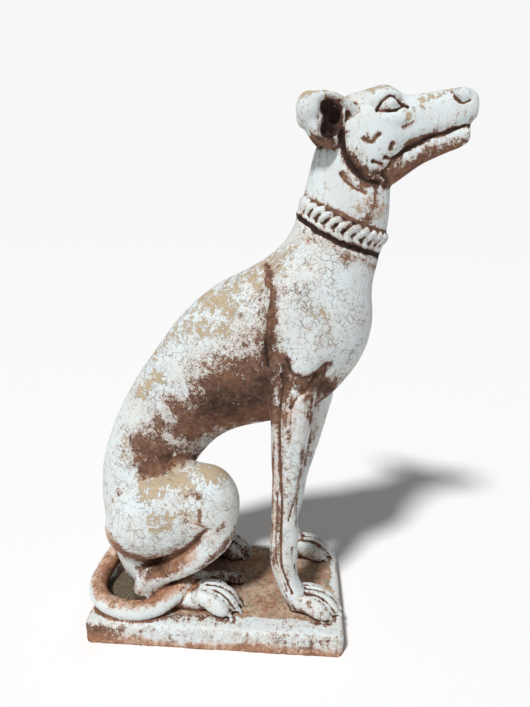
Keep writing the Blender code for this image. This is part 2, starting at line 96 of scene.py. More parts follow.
class StatueSizes(bpy.types.PropertyGroup):
    """Sizes of the statue."""

    height: bpy.props.FloatProperty(
        name="Height", description="Underside of the plinth to the top of the brow",
        default=0.752, min=0.1, unit="LENGTH")
    plinth_length: bpy.props.FloatProperty(
        name="Plinth length", description="Length of the plinth along the dog",
        default=0.370, min=0.1, unit="LENGTH")
    plinth_width: bpy.props.FloatProperty(
        name="Plinth width", description="Width of the plinth across the dog",
        default=0.203, min=0.1, unit="LENGTH")
    plinth_thickness: bpy.props.FloatProperty(
        name="Plinth thickness", description="Height of the plinth",
        default=0.035, min=0.01, unit="LENGTH")
    plinth_corner: bpy.props.FloatProperty(
        name="Plinth corners", description="Radius of the plinth's upright corners",
        default=0.010, min=0.0, unit="LENGTH")
    plinth_rounding: bpy.props.FloatProperty(
        name="Plinth edge", description="Radius of the plinth's upper edge",
        default=0.007, min=0.0, unit="LENGTH")
    middle: bpy.props.FloatProperty(
        name="Dog's mid-plane", description="How far the dog stands to the far side of the plinth's middle",
        default=0.012, unit="LENGTH")
    tail_diameter: bpy.props.FloatProperty(
        name="Tail", description="Diameter of the tail at its root",
        default=0.027, min=0.005, unit="LENGTH")
    link_thickness: bpy.props.FloatProperty(
        name="Collar links", description="Thickness of one link of the chain collar",
        default=0.0074, min=0.002, unit="LENGTH")
    links_round: bpy.props.IntProperty(
        name="Links round the neck", description="Number of links in one row of the collar",
        default=28, min=8)
    head_turn: bpy.props.FloatProperty(
        name="Head turn", description="Share of its length by which the muzzle comes to the near side",
        default=0.12, subtype="FACTOR")
    mass_voxel: bpy.props.FloatProperty(
        name="Mass detail", description="Grain of the first, smooth stage of the model",
        default=0.0042, min=0.002, unit="LENGTH")
    shape_voxel: bpy.props.FloatProperty(
        name="Surface detail", description="Grain of the finished skin",
        default=0.0016, min=0.001, unit="LENGTH")
    triangles: bpy.props.IntProperty(
        name="Triangles", description="Triangles left in the finished mesh",
        default=190000, min=5000)


class StatueColours(bpy.types.PropertyGroup):
    """Colours of the paint, the rust and the growth on the statue, and of the painted shade."""

    paint: bpy.props.FloatVectorProperty(
        name="Paint", description="Old oil paint, bleached to a bluish white",
        default=(0.69, 0.75, 0.76), subtype="COLOR", min=0.0, max=1.0)
    cream: bpy.props.FloatVectorProperty(
        name="Stained paint", description="Paint stained by run-off",
        default=(0.66, 0.615, 0.53), subtype="COLOR", min=0.0, max=1.0)
    ochre: bpy.props.FloatVectorProperty(
        name="Priming", description="Sandy priming, bare where the rain has washed the paint away",
        default=(0.53, 0.42, 0.285), subtype="COLOR", min=0.0, max=1.0)
    rust: bpy.props.FloatVectorProperty(
        name="Rust", description="Red-brown rust",
        default=(0.115, 0.052, 0.035), subtype="COLOR", min=0.0, max=1.0)
    # Painted shade: this near-black old rust also darkens the hollows and the places that the dog hides
    # from the sky.
    dark_rust_and_shade: bpy.props.FloatVectorProperty(
        name="Dark rust", description="Old rust in the hollows",
        default=(0.030, 0.016, 0.012), subtype="COLOR", min=0.0, max=1.0)
    orange: bpy.props.FloatVectorProperty(
        name="Fresh rust", description="Orange rust of run-off",
        default=(0.50, 0.245, 0.135), subtype="COLOR", min=0.0, max=1.0)
    # The soil's colour is kept dark partly as painted shade, where it lies under the haunch.
    soil: bpy.props.FloatVectorProperty(
        name="Soil", description="Soil and dead moss where leaves lay",
        default=(0.115, 0.088, 0.058), subtype="COLOR", min=0.0, max=1.0)
    lichen: bpy.props.FloatVectorProperty(
        name="Lichen", description="Grey-green growth in spots",
        default=(0.24, 0.24, 0.17), subtype="COLOR", min=0.0, max=1.0)


class StageSettings(bpy.types.PropertyGroup):
    """Floor, lights and camera."""

    floor_colour: bpy.props.FloatVectorProperty(
        name="Floor", description="Colour of the floor and the backdrop",
        default=(0.93, 0.93, 0.93), subtype="COLOR", min=0.0, max=1.0)
    sun_strength: bpy.props.FloatProperty(
        name="Key light", description="Strength of the soft light from above the camera",
        default=3.2, min=0.0)
    fill_strength: bpy.props.FloatProperty(
        name="Fill", description="Strength of the even light from all round",
        default=0.20, min=0.0)
    backdrop: bpy.props.FloatProperty(
        name="Backdrop", description="Brightness of the backdrop as the camera sees it",
        default=0.93, min=0.0)
    lens: bpy.props.FloatProperty(
        name="Lens", description="Focal length on a 36 mm high sensor",
        default=28.515, min=10.0, unit="CAMERA")


def curve(rows, per_span):
    """Return rows along a smooth curve through the given rows of numbers."""
    rows = [np.array(row, float) for row in rows]
    padded = [2.0 * rows[0] - rows[1]] + rows + [2.0 * rows[-1] - rows[-2]]
    result = []
    for i in range(1, len(padded) - 2):
        a, b, c, d = padded[i - 1:i + 3]
        for k in range(per_span):
            t = k / per_span
            result.append(0.5 * (2.0 * b + (c - a) * t + (2.0 * a - 5.0 * b + 4.0 * c - d) * t * t
                                 + (3.0 * b - a - 3.0 * c + d) * t ** 3))
    result.append(rows[-1])
    return result


class PoseGrid:
    """Turns places on the pose grid into metres."""

    def __init__(self, sizes):
        self.step = (sizes.height - sizes.plinth_thickness) / (GRID_HEIGHT - GRID_PLINTH)
        self.thickness = sizes.plinth_thickness
        self.middle = sizes.middle
        self.head_turn = sizes.head_turn

    def place(self, x, y, z):
        """Return a point in metres; the head is turned toward the near side."""
        look = -self.head_turn * max(x - 150.0, 0.0) if z > 600.0 else 0.0
        return (x * self.step, (y + look) * self.step + self.middle,
                self.thickness + (z - GRID_PLINTH) * self.step)


def add_form(bm, form):
    """Put one closed form, made by itself because that is quick, among the others."""
    mesh = bpy.data.meshes.new("Form")
    form.to_mesh(mesh)
    form.free()
    bm.from_mesh(mesh)
    bpy.data.meshes.remove(mesh)


def loft(bm, rings, count):
    """Extrude a circle through rings; a ring is a centre, a fore and a side half axis, a fullness
    toward the lower side and a roundness, which is 1 for an ellipse and less for a squarer form."""
    form = bmesh.new()
    around = form.verts.layers.float_vector.new("around")

    def settle(verts, ring):
        centre, fore, side, fullness, roundness = ring
        for vert in verts:
            c, s = vert[around].x, vert[around].y
            c = math.copysign(abs(c) ** roundness, c)
            s = math.copysign(abs(s) ** roundness, s)
            vert.co = Vector(centre + fore * c + side * s * (1.0 - fullness * c))

    verts = bmesh.ops.create_circle(form, cap_ends=True, segments=count, radius=1.0)["verts"]
    for vert in verts:
        vert[around] = vert.co
    edges = list({edge for vert in verts for edge in vert.link_edges})
    settle(verts, rings[0])
    for ring in rings[1:]:
        grown = bmesh.ops.extrude_edge_only(form, edges=edges)["geom"]
        verts = [part for part in grown if isinstance(part, bmesh.types.BMVert)]
        edges = [part for part in grown if isinstance(part, bmesh.types.BMEdge)]
        settle(verts, ring)
    bmesh.ops.contextual_create(form, geom=edges)
    bmesh.ops.recalc_face_normals(form, faces=form.faces)
    form.verts.layers.float_vector.remove(around)
    add_form(bm, form)


def limb(bm, rows, side=(0.0, 1.0, 0.0), count=24, per_span=5, domed=True):
    """Loft a round form; a row is x, y, z, the radius across `side` and the radius along it."""
    rows = curve(rows, per_span)
    centres = np.array([row[:3] for row in rows])
    tangents = np.gradient(centres, axis=0)
    tangents /= np.linalg.norm(tangents, axis=1)[:, None]
    side = np.array(side, float)
    rings = []

    def ring(centre, tangent, across, along):
        lateral = side - tangent * side.dot(tangent)
        lateral /= np.linalg.norm(lateral)
        return centre, np.cross(lateral, tangent) * across, lateral * along, 0.0, 1.0

    if domed:
        for angle in (75.0, 45.0, 20.0):
            size = math.cos(math.radians(angle))
            back = math.sin(math.radians(angle)) * min(rows[0][3:5])
            rings.append(ring(centres[0] - tangents[0] * back, tangents[0],
                              rows[0][3] * size, rows[0][4] * size))
    for row, centre, tangent in zip(rows, centres, tangents):
        rings.append(ring(centre, tangent, max(row[3], 0.4), max(row[4], 0.4)))
    if domed:
        for angle in (20.0, 45.0, 75.0):
            size = math.cos(math.radians(angle))
            on = math.sin(math.radians(angle)) * min(rows[-1][3:5])
            rings.append(ring(centres[-1] + tangents[-1] * on, tangents[-1],
                              rows[-1][3] * size, rows[-1][4] * size))
    loft(bm, rings, count)


def outline_body(bm, rows, count=40, per_span=5):
    """Loft from side outlines; a row is upper x, z, lower x, z, half width, fullness and roundness."""
    rings = []
    for row in curve(rows, per_span):
        upper = np.array([row[0], 0.0, row[1]])
        lower = np.array([row[2], 0.0, row[3]])
        rings.append(((upper + lower) / 2.0, (upper - lower) / 2.0,
                      np.array([0.0, max(row[4], 0.5), 0.0]), row[5], row[6]))
    loft(bm, rings, count)


def egg(bm, centre, radii, turn=0.0, roll=0.0):
    """Add an egg; `turn` tips its nose up and `roll` leans its top outward, in degrees."""
    matrix = (Matrix.Translation(centre) @ Matrix.Rotation(math.radians(-turn), 4, "Y")
              @ Matrix.Rotation(math.radians(roll), 4, "X") @ Matrix.Diagonal((*radii, 1.0)))
    form = bmesh.new()
    bmesh.ops.create_uvsphere(form, u_segments=28, v_segments=18, radius=1.0, matrix=matrix)
    add_form(bm, form)


def body_masses(bm):
    """Trunk, neck, haunches and legs as overlapping bodies."""
    trunk = [
        (-142, 44, -96, 40, 44, 0.0, 1.0), (-160, 78, -84, 66, 55, 0.0, 1.0),
        (-173, 125, -74, 120, 60, 0.0, 1.0), (-180, 180, -62, 172, 61, 0.0, 1.0),
        (-177, 235, -54, 212, 58, 0.0, 1.0), (-163, 284, -44, 236, 52, 0.0, 1.0),
        (-144, 328, -25, 262, 48, -0.05, 1.0), (-121, 370, -4, 284, 46, -0.08, 1.0),
        (-94, 409, 22, 299, 50, -0.05, 1.0), (-64, 451, 52, 309, 56, 0.0, 1.0),
        (-35, 482, 82, 316, 60, 0.0, 1.0), (-2, 508, 114, 329, 63, 0.06, 1.0),
        (34, 527, 146, 350, 65, 0.08, 1.0), (63, 545, 172, 381, 65, 0.08, 1.0),
        (82, 564, 195, 420, 60, 0.05, 1.0), (93, 581, 203, 462, 52, 0.0, 1.0),
        (98, 597, 199, 508, 45, 0.0, 1.0), (101, 610, 205, 545, 39, 0.0, 1.0),
        (107, 632, 214, 588, 36, 0.0, 1.0), (112, 656, 212, 626, 35, 0.0, 1.0),
        (119, 688, 211, 655, 35, 0.0, 1.0),
    ]
    outline_body(bm, trunk)
    for near in (-1.0, 1.0):
        front = 0.0 if near < 0.0 else 26.0
        if near < 0.0:
            egg(bm, (-76, -50, 183), (101, 46, 63), turn=35)
            egg(bm, (-14, -60, 204), (46, 37, 60))
            knee = [(-4, -66, 200, 30, 27), (0, -68, 164, 26, 24), (-27, -68, 125, 20, 20)]
        else:
            egg(bm, (-94, 50, 142), (82, 44, 58), turn=12)
            egg(bm, (-38, 58, 132), (42, 33, 44))
            knee = [(-20, 62, 140, 30, 26), (-18, 64, 130, 24, 23), (-36, 64, 108, 20, 20)]
        egg(bm, (104 + front * 0.5, near * 46, 462), (44, 27, 76), turn=12)
        limb(bm, knee + [(-57, near * 65, 100, 17.5, 17), (-88, near * 63, 82, 16.5, 15),
                         (-108, near * 62, 62, 17, 15)])
        limb(bm, [(-112, near * 62, 52, 18, 15), (-70, near * 64, 50, 17, 17),
                  (-24, near * 66, 50, 18, 19)])
        leg = [
            (112, 46, 440, 34, 26), (102, 50, 402, 34, 27), (99, 53, 375, 31, 26),
            (100, 56, 340, 28, 24), (98, 58, 300, 24.5, 21), (96.5, 59, 260, 21, 18.5),
            (95, 60, 220, 18.8, 16.5), (94.5, 61, 190, 18.2, 16), (95.5, 62, 160, 19.5, 17.5),
            (96, 63, 135, 20.5, 18.5), (96.5, 64, 115, 19, 18), (101, 65, 93, 17, 16.5),
            (110, 66, 72, 17, 17), (122, 66, 56, 17, 18),
        ]
        drift = (26, 31, 34, 35, 33, 29, 23, 17, 11, 6, 2, 0, -3, -5)
        rows = []
        for (x, y, z, across, along), far in zip(leg, drift):
            x += far if near > 0.0 else 0.0
            rows.append((x, near * y, z, across, along))
        limb(bm, rows)
        egg(bm, (76 + front, near * 50, 384), (13, 12, 22))


def paw(bm, x, y, length, width, turn, high):
    """Add a paw with four toes and claws, its heel at x and y on the plinth."""
    c = math.cos(math.radians(turn))
    s = math.sin(math.radians(turn))

    def spot(fore, across, up):
        return (x + fore * c - across * s, y + fore * s + across * c, GRID_PLINTH + up * high)

    half = width / 2.0
    limb(bm, [spot(12, 0, 16) + (15, half * 0.64), spot(length * 0.38, 0, 19) + (19, half * 0.78),
              spot(length * 0.64, 0, 11) + (12, half * 0.80)])
    for i, reach in enumerate((0.84, 1.0, 1.0, 0.84)):
        across = (i - 1.5) / 1.5 * half * 0.74
        tip = length * reach - 6.0
        lift = 1.0 if i in (1, 2) else 0.88
        limb(bm, [
            spot(tip - length * 0.60, across * 0.50, 27 * lift) + (12.0, half * 0.28),
            spot(tip - length * 0.40, across * 0.78, 27 * lift) + (12.5, half * 0.32),
            spot(tip - length * 0.20, across * 0.98, 20 * lift) + (13.0, half * 0.335),
            spot(tip - length * 0.06, across * 1.00, 11) + (10.5, half * 0.31),
        ], count=16, per_span=4)
        limb(bm, [spot(tip - 2, across, 9) + (5.0, 4.4), spot(tip + 4, across, 7) + (3.9, 3.6),
                  spot(tip + 7.5, across, 3.5) + (3.0, 2.8)], count=10, per_span=3)


def head(bm):
    """Skull, muzzle, lower jaw, eyes and folded ears."""
    skull = [
        (124, 710, 134, 678, 24, 0.0, 1.0), (132, 729, 141, 664, 33, 0.0, 1.0),
        (145, 737, 152, 655, 37, 0.02, 0.95), (160, 743, 170, 649, 38, 0.04, 0.9),
        (178, 748, 190, 648, 37, 0.05, 0.86), (195, 752, 206, 654, 34.5, 0.06, 0.84),
        (208, 748, 217, 667, 30.5, 0.07, 0.84), (220, 741, 229, 681, 26, 0.08, 0.82),
        (243, 743, 249, 692, 21.5, 0.10, 0.80), (268, 747, 271, 698.5, 18.5, 0.10, 0.80),
        (286, 749, 287, 705, 17.0, 0.04, 0.80), (297, 746, 298, 710, 14.5, 0.0, 0.84),
        (303, 739, 304, 715, 9.5, 0.0, 0.9),
    ]
    outline_body(bm, skull)
    jaw = [
        (178, 700, 182, 638, 25, 0.1, 0.95), (198, 694, 207, 635, 24.5, 0.1, 0.95),
        (221, 692, 227, 648, 20.5, 0.1, 0.92), (243, 698, 247, 663, 16.5, 0.04, 0.9),
        (266, 704, 270, 674.5, 14.5, 0.0, 0.9), (285, 709, 287, 681.5, 13.5, 0.0, 0.9),
        (297, 711, 298, 688, 11.0, 0.0, 0.9),
    ]
    outline_body(bm, jaw, count=32)
    for near in (-1.0, 1.0):
        # Brow, cheekbone and cheek.
        egg(bm, (190, near * 20, 732), (24, 14, 15), turn=6)
        egg(bm, (188, near * 26.5, 709), (36, 9.5, 12), turn=6)
        egg(bm, (174, near * 26, 680), (34, 14, 34))
        # Eyeball and nose wing.
        egg(bm, (199.5, near * 31, 728), (10, 5.6, 6.8), turn=8)
        egg(bm, (281, near * 14.5, 740), (11, 4.5, 7.5), turn=-10)
        # Ear: the folded tip, the bowl, its upper rim, the lower flap and the fold inside.
        egg(bm, (106, near * 44, 722), (14.5, 10, 18), turn=-6)
        egg(bm, (129, near * 37.5, 714), (20, 9.5, 22), turn=-24)
        limb(bm, [(110, near * 44, 731, 8, 7), (123, near * 43, 734, 7, 6.5), (137, near * 40, 732, 6.5, 6),
                  (150, near * 36, 727, 6, 6), (159, near * 32, 721, 5, 5)], count=16)
        limb(bm, [(106, near * 43, 714, 8, 7), (114, near * 43, 702, 8, 7), (122, near * 41.5, 692, 8, 6.5),
                  (130, near * 38, 684, 7, 6), (137, near * 35, 684, 5.5, 5)], count=16)
        limb(bm, [(133, near * 38, 684, 5, 4.5), (140, near * 37.5, 694, 4.5, 4),
                  (145, near * 37, 706, 4, 4)], count=12)


def collar(bm, step, thickness, links):
    """A braided chain of arched upper and slanting lower links round the tilted neck."""
    thick = thickness / step / 2.0
    wide = np.array([0.0, COLLAR_WIDTH, 0.0])

    def spot(turn, rise, out=1.0):
        drop = -3.5 * (1.0 - math.cos(2.0 * turn)) / 2.0
        around = (COLLAR_FORE * math.cos(turn) + wide * math.sin(turn)) * out
        return COLLAR_CENTRE + around + COLLAR_UP * (rise + drop)

    for rise in (-5.2, 5.2):
        rows = []
        for k in range(49):
            rows.append(tuple(spot(2.0 * math.pi * k / 48.0, rise, 0.915)) + (4.6, 4.6))
        limb(bm, rows, side=COLLAR_UP, count=10, per_span=1, domed=False)
    pitch = 2.0 * math.pi / links
    for k in range(links):
        turn = pitch * k
        for way in (1.0, -1.0):
            # On the near side the arches open toward the throat, and the far side mirrors it.
            if way * math.sin(turn) > 1e-6 or (abs(math.sin(turn)) <= 1e-6 and way < 0.0):
                continue
            arch = ((-0.50, -3.4, 1.00, 0.92), (-0.34, -0.4, 1.03, 1.08), (-0.10, 4.8, 1.05, 1.10),
                    (0.18, 8.4, 1.04, 1.02), (0.46, 8.8, 0.98, 0.66))
            limb(bm, [tuple(spot(turn + way * t * pitch, rise, out)) + (thick * r, thick * r)
                      for t, rise, out, r in arch], side=COLLAR_UP, count=12, per_span=3)
            slant = ((-0.46, -7.2, 1.0, 0.76), (-0.16, -10.2, 1.03, 0.98), (0.18, -13.6, 0.99, 0.72))
            limb(bm, [tuple(spot(turn + way * t * pitch, rise, out)) + (thick * r, thick * r)
                      for t, rise, out, r in slant], side=COLLAR_UP, count=12, per_span=3)


def tail(bm, step, diameter):
    """The tail, curled round the near corner and over the near hind foot."""
    full = diameter / step / 2.0
    limb(bm, [(x, y, z, full * r, full * r) for x, y, z, r in TAIL], side=(0.0, 0.0, 1.0))


def to_object(bm, name, grid=None):
    """Turn the faces outward and return the mesh as an object in metres."""
    bmesh.ops.recalc_face_normals(bm, faces=bm.faces)
    if grid:
        for vert in bm.verts:
            x, y, z = vert.co
            vert.co = grid.place(x, y, max(z, GRID_PLINTH - 16.0))
    mesh = bpy.data.meshes.new(name)
    bm.to_mesh(mesh)
    bm.free()
    obj = bpy.data.objects.new(name, mesh)
    bpy.context.scene.collection.objects.link(obj)
    return obj


def join(target, other):
    """Put the second object's mesh into the first one's."""
    bm = bmesh.new()
    bm.from_mesh(target.data)
    bm.from_mesh(other.data)
    bm.to_mesh(target.data)
    bm.free()
    bpy.data.objects.remove(other)


def apply_modifiers(obj):
    """Replace the object's mesh by its evaluated mesh."""
    bpy.context.view_layer.update()
    result = bpy.data.meshes.new_from_object(obj.evaluated_get(bpy.context.evaluated_depsgraph_get()))
    obj.modifiers.clear()
    obj.data = result


def melt(obj, size):
    """Melt overlapping bodies into one skin."""
    remesh = obj.modifiers.new("Skin", "REMESH")
    remesh.mode = "VOXEL"
    remesh.voxel_size = size
    remesh.adaptivity = 0.0
    apply_modifiers(obj)


def keep_largest(obj):
    """Drop loose scraps and shut-in pockets, so one skin is left."""
    edges = np.empty(len(obj.data.edges) * 2, dtype=np.int64)
    obj.data.edges.foreach_get("vertices", edges)
    a, b = edges.reshape(-1, 2).T
    label = np.arange(len(obj.data.vertices))
    while True:
        low = label.copy()
        np.minimum.at(low, a, label[b])
        np.minimum.at(low, b, label[a])
        low = low[low]
        if np.array_equal(low, label):
            break
        label = low
    names, counts = np.unique(label, return_counts=True)
    keep = names[np.argmax(counts)]
    bm = bmesh.new()
    bm.from_mesh(obj.data)
    bmesh.ops.delete(bm, geom=[vert for vert in bm.verts if label[vert.index] != keep], context="VERTS")
    bm.to_mesh(obj.data)
    bm.free()


def share(value):
    """Keep numbers from 0 to 1."""
    return np.clip(value, 0.0, 1.0)


def get_points(mesh):
    points = np.empty(len(mesh.vertices) * 3)
    mesh.vertices.foreach_get("co", points)
    return points.reshape(-1, 3)


def set_points(mesh, points):
    mesh.vertices.foreach_set("co", points.ravel())
    mesh.update()


def get_normals(mesh):
    normals = np.empty(len(mesh.vertices) * 3)
    mesh.vertices.foreach_get("normal", normals)
    return normals.reshape(-1, 3)


def neighbour_means(mesh, values, rounds, weight=0.5):
    """Even out numbers or points over the mesh's edges."""
    edges = np.empty(len(mesh.edges) * 2, dtype=np.int64)
    mesh.edges.foreach_get("vertices", edges)
    a, b = edges.reshape(-1, 2).T
    count = len(mesh.vertices)
    degree = np.maximum(np.bincount(a, minlength=count) + np.bincount(b, minlength=count), 1)[:, None]
    flat = np.array(values, float).reshape(count, -1)
    weight = np.broadcast_to(np.asarray(weight, float).reshape(-1, 1), (count, 1))
    for _ in range(rounds):
        total = np.empty_like(flat)
        for axis in range(flat.shape[1]):
            total[:, axis] = (np.bincount(a, flat[b, axis], count) + np.bincount(b, flat[a, axis], count))
        flat = flat + weight * (total / degree - flat)
    return flat.reshape(np.shape(values))


def relax(mesh, rounds, weight):
    """Even out the surface; `weight` is a number or one number a vertex."""
    set_points(mesh, neighbour_means(mesh, get_points(mesh), rounds, weight))


def swell(mesh, distance):
    """Move the surface outward by a number or by one number a vertex."""
    set_points(mesh, get_points(mesh) + get_normals(mesh) * np.reshape(distance, (-1, 1)))


def distance_to_path(points, path):
    """Return the distance of each point from a polyline."""
    best = np.full(len(points), 1e9)
    for a, b in zip(path, path[1:]):
        a = np.array(a)
        span = np.array(b) - a
        t = share((points - a) @ span / max(span @ span, 1e-12))
        best = np.minimum(best, np.linalg.norm(points - a - t[:, None] * span, axis=1))
    return best


def carve(mesh, grid, strokes, sides=(-1.0, 1.0)):
    """Raise or sink the surface along strokes, each a pose grid path, a width and a height."""
    points = get_points(mesh)
    shift = np.zeros(len(points))
    for path, width, height in strokes:
        width *= grid.step
        for near in sides:
            line = np.array([grid.place(x, near * y, z) for x, y, z in curve(path, 4)])
            low = line.min(0) - 3.0 * width
            high = line.max(0) + 3.0 * width
            close = np.all((points > low) & (points < high), axis=1)
            far = distance_to_path(points[close], line) / width
            shift[close] += height * grid.step * np.exp(-far * far)
    swell(mesh, shift)


def score(mesh, grid, strokes, sides=(-1.0, 1.0), inward=False):
    """Raise or sink the dog's outer side along strokes drawn in side view.

    A stroke is a path of x and z, the least y, a width and a height. With `inward` the surface
    is pressed toward the mid-plane and the floor of the stroke is flat.
    """
    points = get_points(mesh)
    normals = get_normals(mesh)
    shift = np.zeros(len(points))
    for path, least, width, height in strokes:
        width *= grid.step
        for near in sides:
            line = np.array([grid.place(x, near * least, z) for x, z in curve(path, 4)])
            low = line.min(0) - 3.0 * width
            high = line.max(0) + 3.0 * width
            side = (points[:, 1] - grid.middle) * near > (least - grid.head_turn * 150.0) * grid.step
            facing = share(normals[:, 1] * near * 2.5)
            close = side & (facing > 0.0) & np.all((points > low)[:, ::2] & (points < high)[:, ::2], axis=1)
            flat = points[close] * (1.0, 0.0, 1.0)
            far = distance_to_path(flat, line * (1.0, 0.0, 1.0)) / width
            fall = np.exp(-far ** 4) if inward else np.exp(-far * far)
            if inward:
                points[close, 1] += near * height * grid.step * fall
            else:
                shift[close] += height * grid.step * fall * facing[close]
    set_points(mesh, points + normals * shift[:, None])


def carve_masses(mesh, grid):
    """Swell the muscles and sink the hollows between them."""
    carve(mesh, grid, [
        ([(66, 50, 530), (70, 62, 500), (66, 66, 465), (66, 62, 425)], 7, -4.5),
        ([(124, 66, 440), (138, 62, 430)], 22, 4),
        ([(-62, 60, 250), (-100, 62, 252)], 16, -3),
        ([(-150, 48, 120), (-140, 60, 96), (-120, 66, 80)], 7, -2.5),
    ])
    score(mesh, grid, [
        ([(90, 424), (96, 409), (107, 400), (120, 399), (133, 405), (146, 416)], 30, 8, -4.5),
        ([(111, 375), (110, 323), (104, 268), (102, 230)], 30, 9, 2.0),
        ([(-10, 184), (-25, 158), (-39, 141), (-54, 130), (-73, 118), (-90, 106)], 50, 5, -4.5),
    ])


def carve_legs(mesh, grid):
    """Cut the forelegs' sinews, the shoulder's edge, the thigh's creases and the line under the collar."""
    score(mesh, grid, [
        ([(75, 367), (77, 355), (80, 320), (80, 283), (81, 255), (79, 227), (78, 187)], 40, 3.0, 1.6),
        ([(85, 405), (87, 388), (85, 365), (84, 339), (85, 312), (86, 285), (88, 257), (91, 219),
          (91, 179), (92, 150), (93, 127), (98, 108), (105, 90), (110, 78)], 40, 2.6, -3.0),
        ([(84, 234), (84.5, 207), (84, 177), (84, 147), (87, 125), (95, 102), (103, 80)], 40, 1.8, -2.0),
        ([(98, 240), (98, 200), (98, 160), (100, 130)], 40, 4.0, 0.8),
        ([(129, 404), (124, 394), (118, 386), (106, 377), (99, 364)], 40, 3.2, -2.4),
        ([(109, 229), (105, 212), (101, 194)], 40, 1.8, -1.2),
        ([(108, 150), (111, 128), (116, 106), (122, 92)], 40, 2.4, -1.6),
        ([(92, 425), (97, 412), (107, 404), (119, 403), (131, 409), (141, 418)], 40, 2.6, -1.2),
        ([(-14, 180), (-28, 157), (-41, 140), (-55, 130), (-73, 118), (-89, 107)], 55, 2.4, -2.0),
        ([(-149, 158), (-146, 140), (-140, 125), (-131, 113)], 35, 2.2, -1.2),
        ([(66, 526), (68, 500), (66, 470), (64, 440), (67, 415)], 40, 2.2, -1.4),
        ([(98, 597), (122, 583), (150, 570), (180, 560), (205, 552)], 16, 3.0, -2.6),
    ])


def carve_head(mesh, grid):
    """Cut the mouth, eyes, nostrils, ear bowls, cheek pits and the folds behind the jaw."""
    score(mesh, grid, [([(130, 723), (134, 713), (131, 699)], 36, 10.0, -14),
                       ([(140, 721), (138, 712)], 36, 6.5, -7)], inward=True)
    carve(mesh, grid, [
        ([(304, 3, 712), (298, 11, 711.5), (287, 15, 705.5), (270, 17, 699), (249, 20, 692.5),
          (238, 22.5, 687), (229, 25.5, 681.5), (219, 29, 674), (209, 32, 669), (199, 34, 669.5)],
         2.3, -4.2),
    ])
    score(mesh, grid, [
        ([(145, 702), (148, 686), (153, 670), (164, 654), (179, 644), (194, 641)], 24, 3.6, -4.8),
        ([(148, 650), (156, 641), (166, 634), (178, 629)], 24, 2.4, -2.4),
        ([(185, 720.5), (190, 730), (197, 736), (204, 735.5), (211, 729), (221, 725.5)], 22, 1.5, -2.8),
        ([(185, 720.5), (193, 720), (202, 720), (209, 722), (215, 726)], 22, 1.5, -2.6),
        ([(189, 694), (181, 687), (172, 690)], 26, 3.2, -1.6),
        ([(207, 685), (204, 679)], 24, 2.8, -1.4),
        ([(185, 664), (195, 662)], 24, 3.0, -2.2),
        ([(271, 742), (275, 735), (283, 730.5), (291, 733)], 4, 1.7, -1.5),
        ([(224, 707), (240, 709), (262, 714)], 8, 9.0, -0.7),
    ])


def carve_paws(mesh, grid):
    """Part the toes."""
    strokes = []
    for x, y, length, width, turn, high in PAWS:
        c = math.cos(math.radians(turn))
        s = math.sin(math.radians(turn))
        for i in (-1, 0, 1):
            line = []
            for fore, up in ((0.34, 38), (0.5, 37), (0.66, 32), (0.8, 23), (0.92, 10)):
                across = i * width * 0.245 * (0.62 + 0.38 * fore)
                line.append((x + fore * length * c - across * s, y + fore * length * s + across * c,
                             GRID_PLINTH + up * high))
            strokes.append((line, 2.0, -3.4))
    carve(mesh, grid, strokes, sides=(1.0,))


def roughen(mesh):
    """Give the casting its uneven skin: broad waves, hammered lumps and pits."""
    points = get_points(mesh)
    normals = get_normals(mesh)
    shift = np.empty(len(points))
    for i, point in enumerate(points):
        place = Vector(point)
        broad = noise.noise(place * 22.0)
        lumps = noise.noise(place * 85.0 + Vector((3.1, 7.7, 1.3)))
        fine = noise.noise(place * 260.0 + Vector((9.2, 2.4, 5.5)))
        shift[i] = 0.00045 * broad + 0.00022 * lumps + 0.00012 * fine
    set_points(mesh, points + normals * shift[:, None])


def plinth(sizes):
    """The rounded oblong slab the dog sits on."""
    bm = bmesh.new()
    bmesh.ops.create_cube(bm, size=1.0, matrix=Matrix.Translation((0.0, 0.0, 0.5)))
    bmesh.ops.scale(bm, vec=(sizes.plinth_length, sizes.plinth_width, sizes.plinth_thickness),
                    verts=bm.verts)
    upright = [e for e in bm.edges
               if abs(e.verts[0].co.z - e.verts[1].co.z) > sizes.plinth_thickness / 2.0]
    bmesh.ops.bevel(bm, geom=upright, offset=sizes.plinth_corner, segments=5, profile=0.5,
                    affect="EDGES", material=-1)
    top = [e for e in bm.edges if min(v.co.z for v in e.verts) > sizes.plinth_thickness * 0.9]
    bmesh.ops.bevel(bm, geom=top, offset=sizes.plinth_rounding, segments=4, profile=0.5,
                    affect="EDGES", material=-1)
    return to_object(bm, "Plinth")


def set_number(mesh, name, values):
    """Keep one number a vertex on the mesh for the finish to read."""
    layer = mesh.attributes.new(name, "FLOAT", "POINT")
    layer.data.foreach_set("value", np.asarray(values, np.float32))


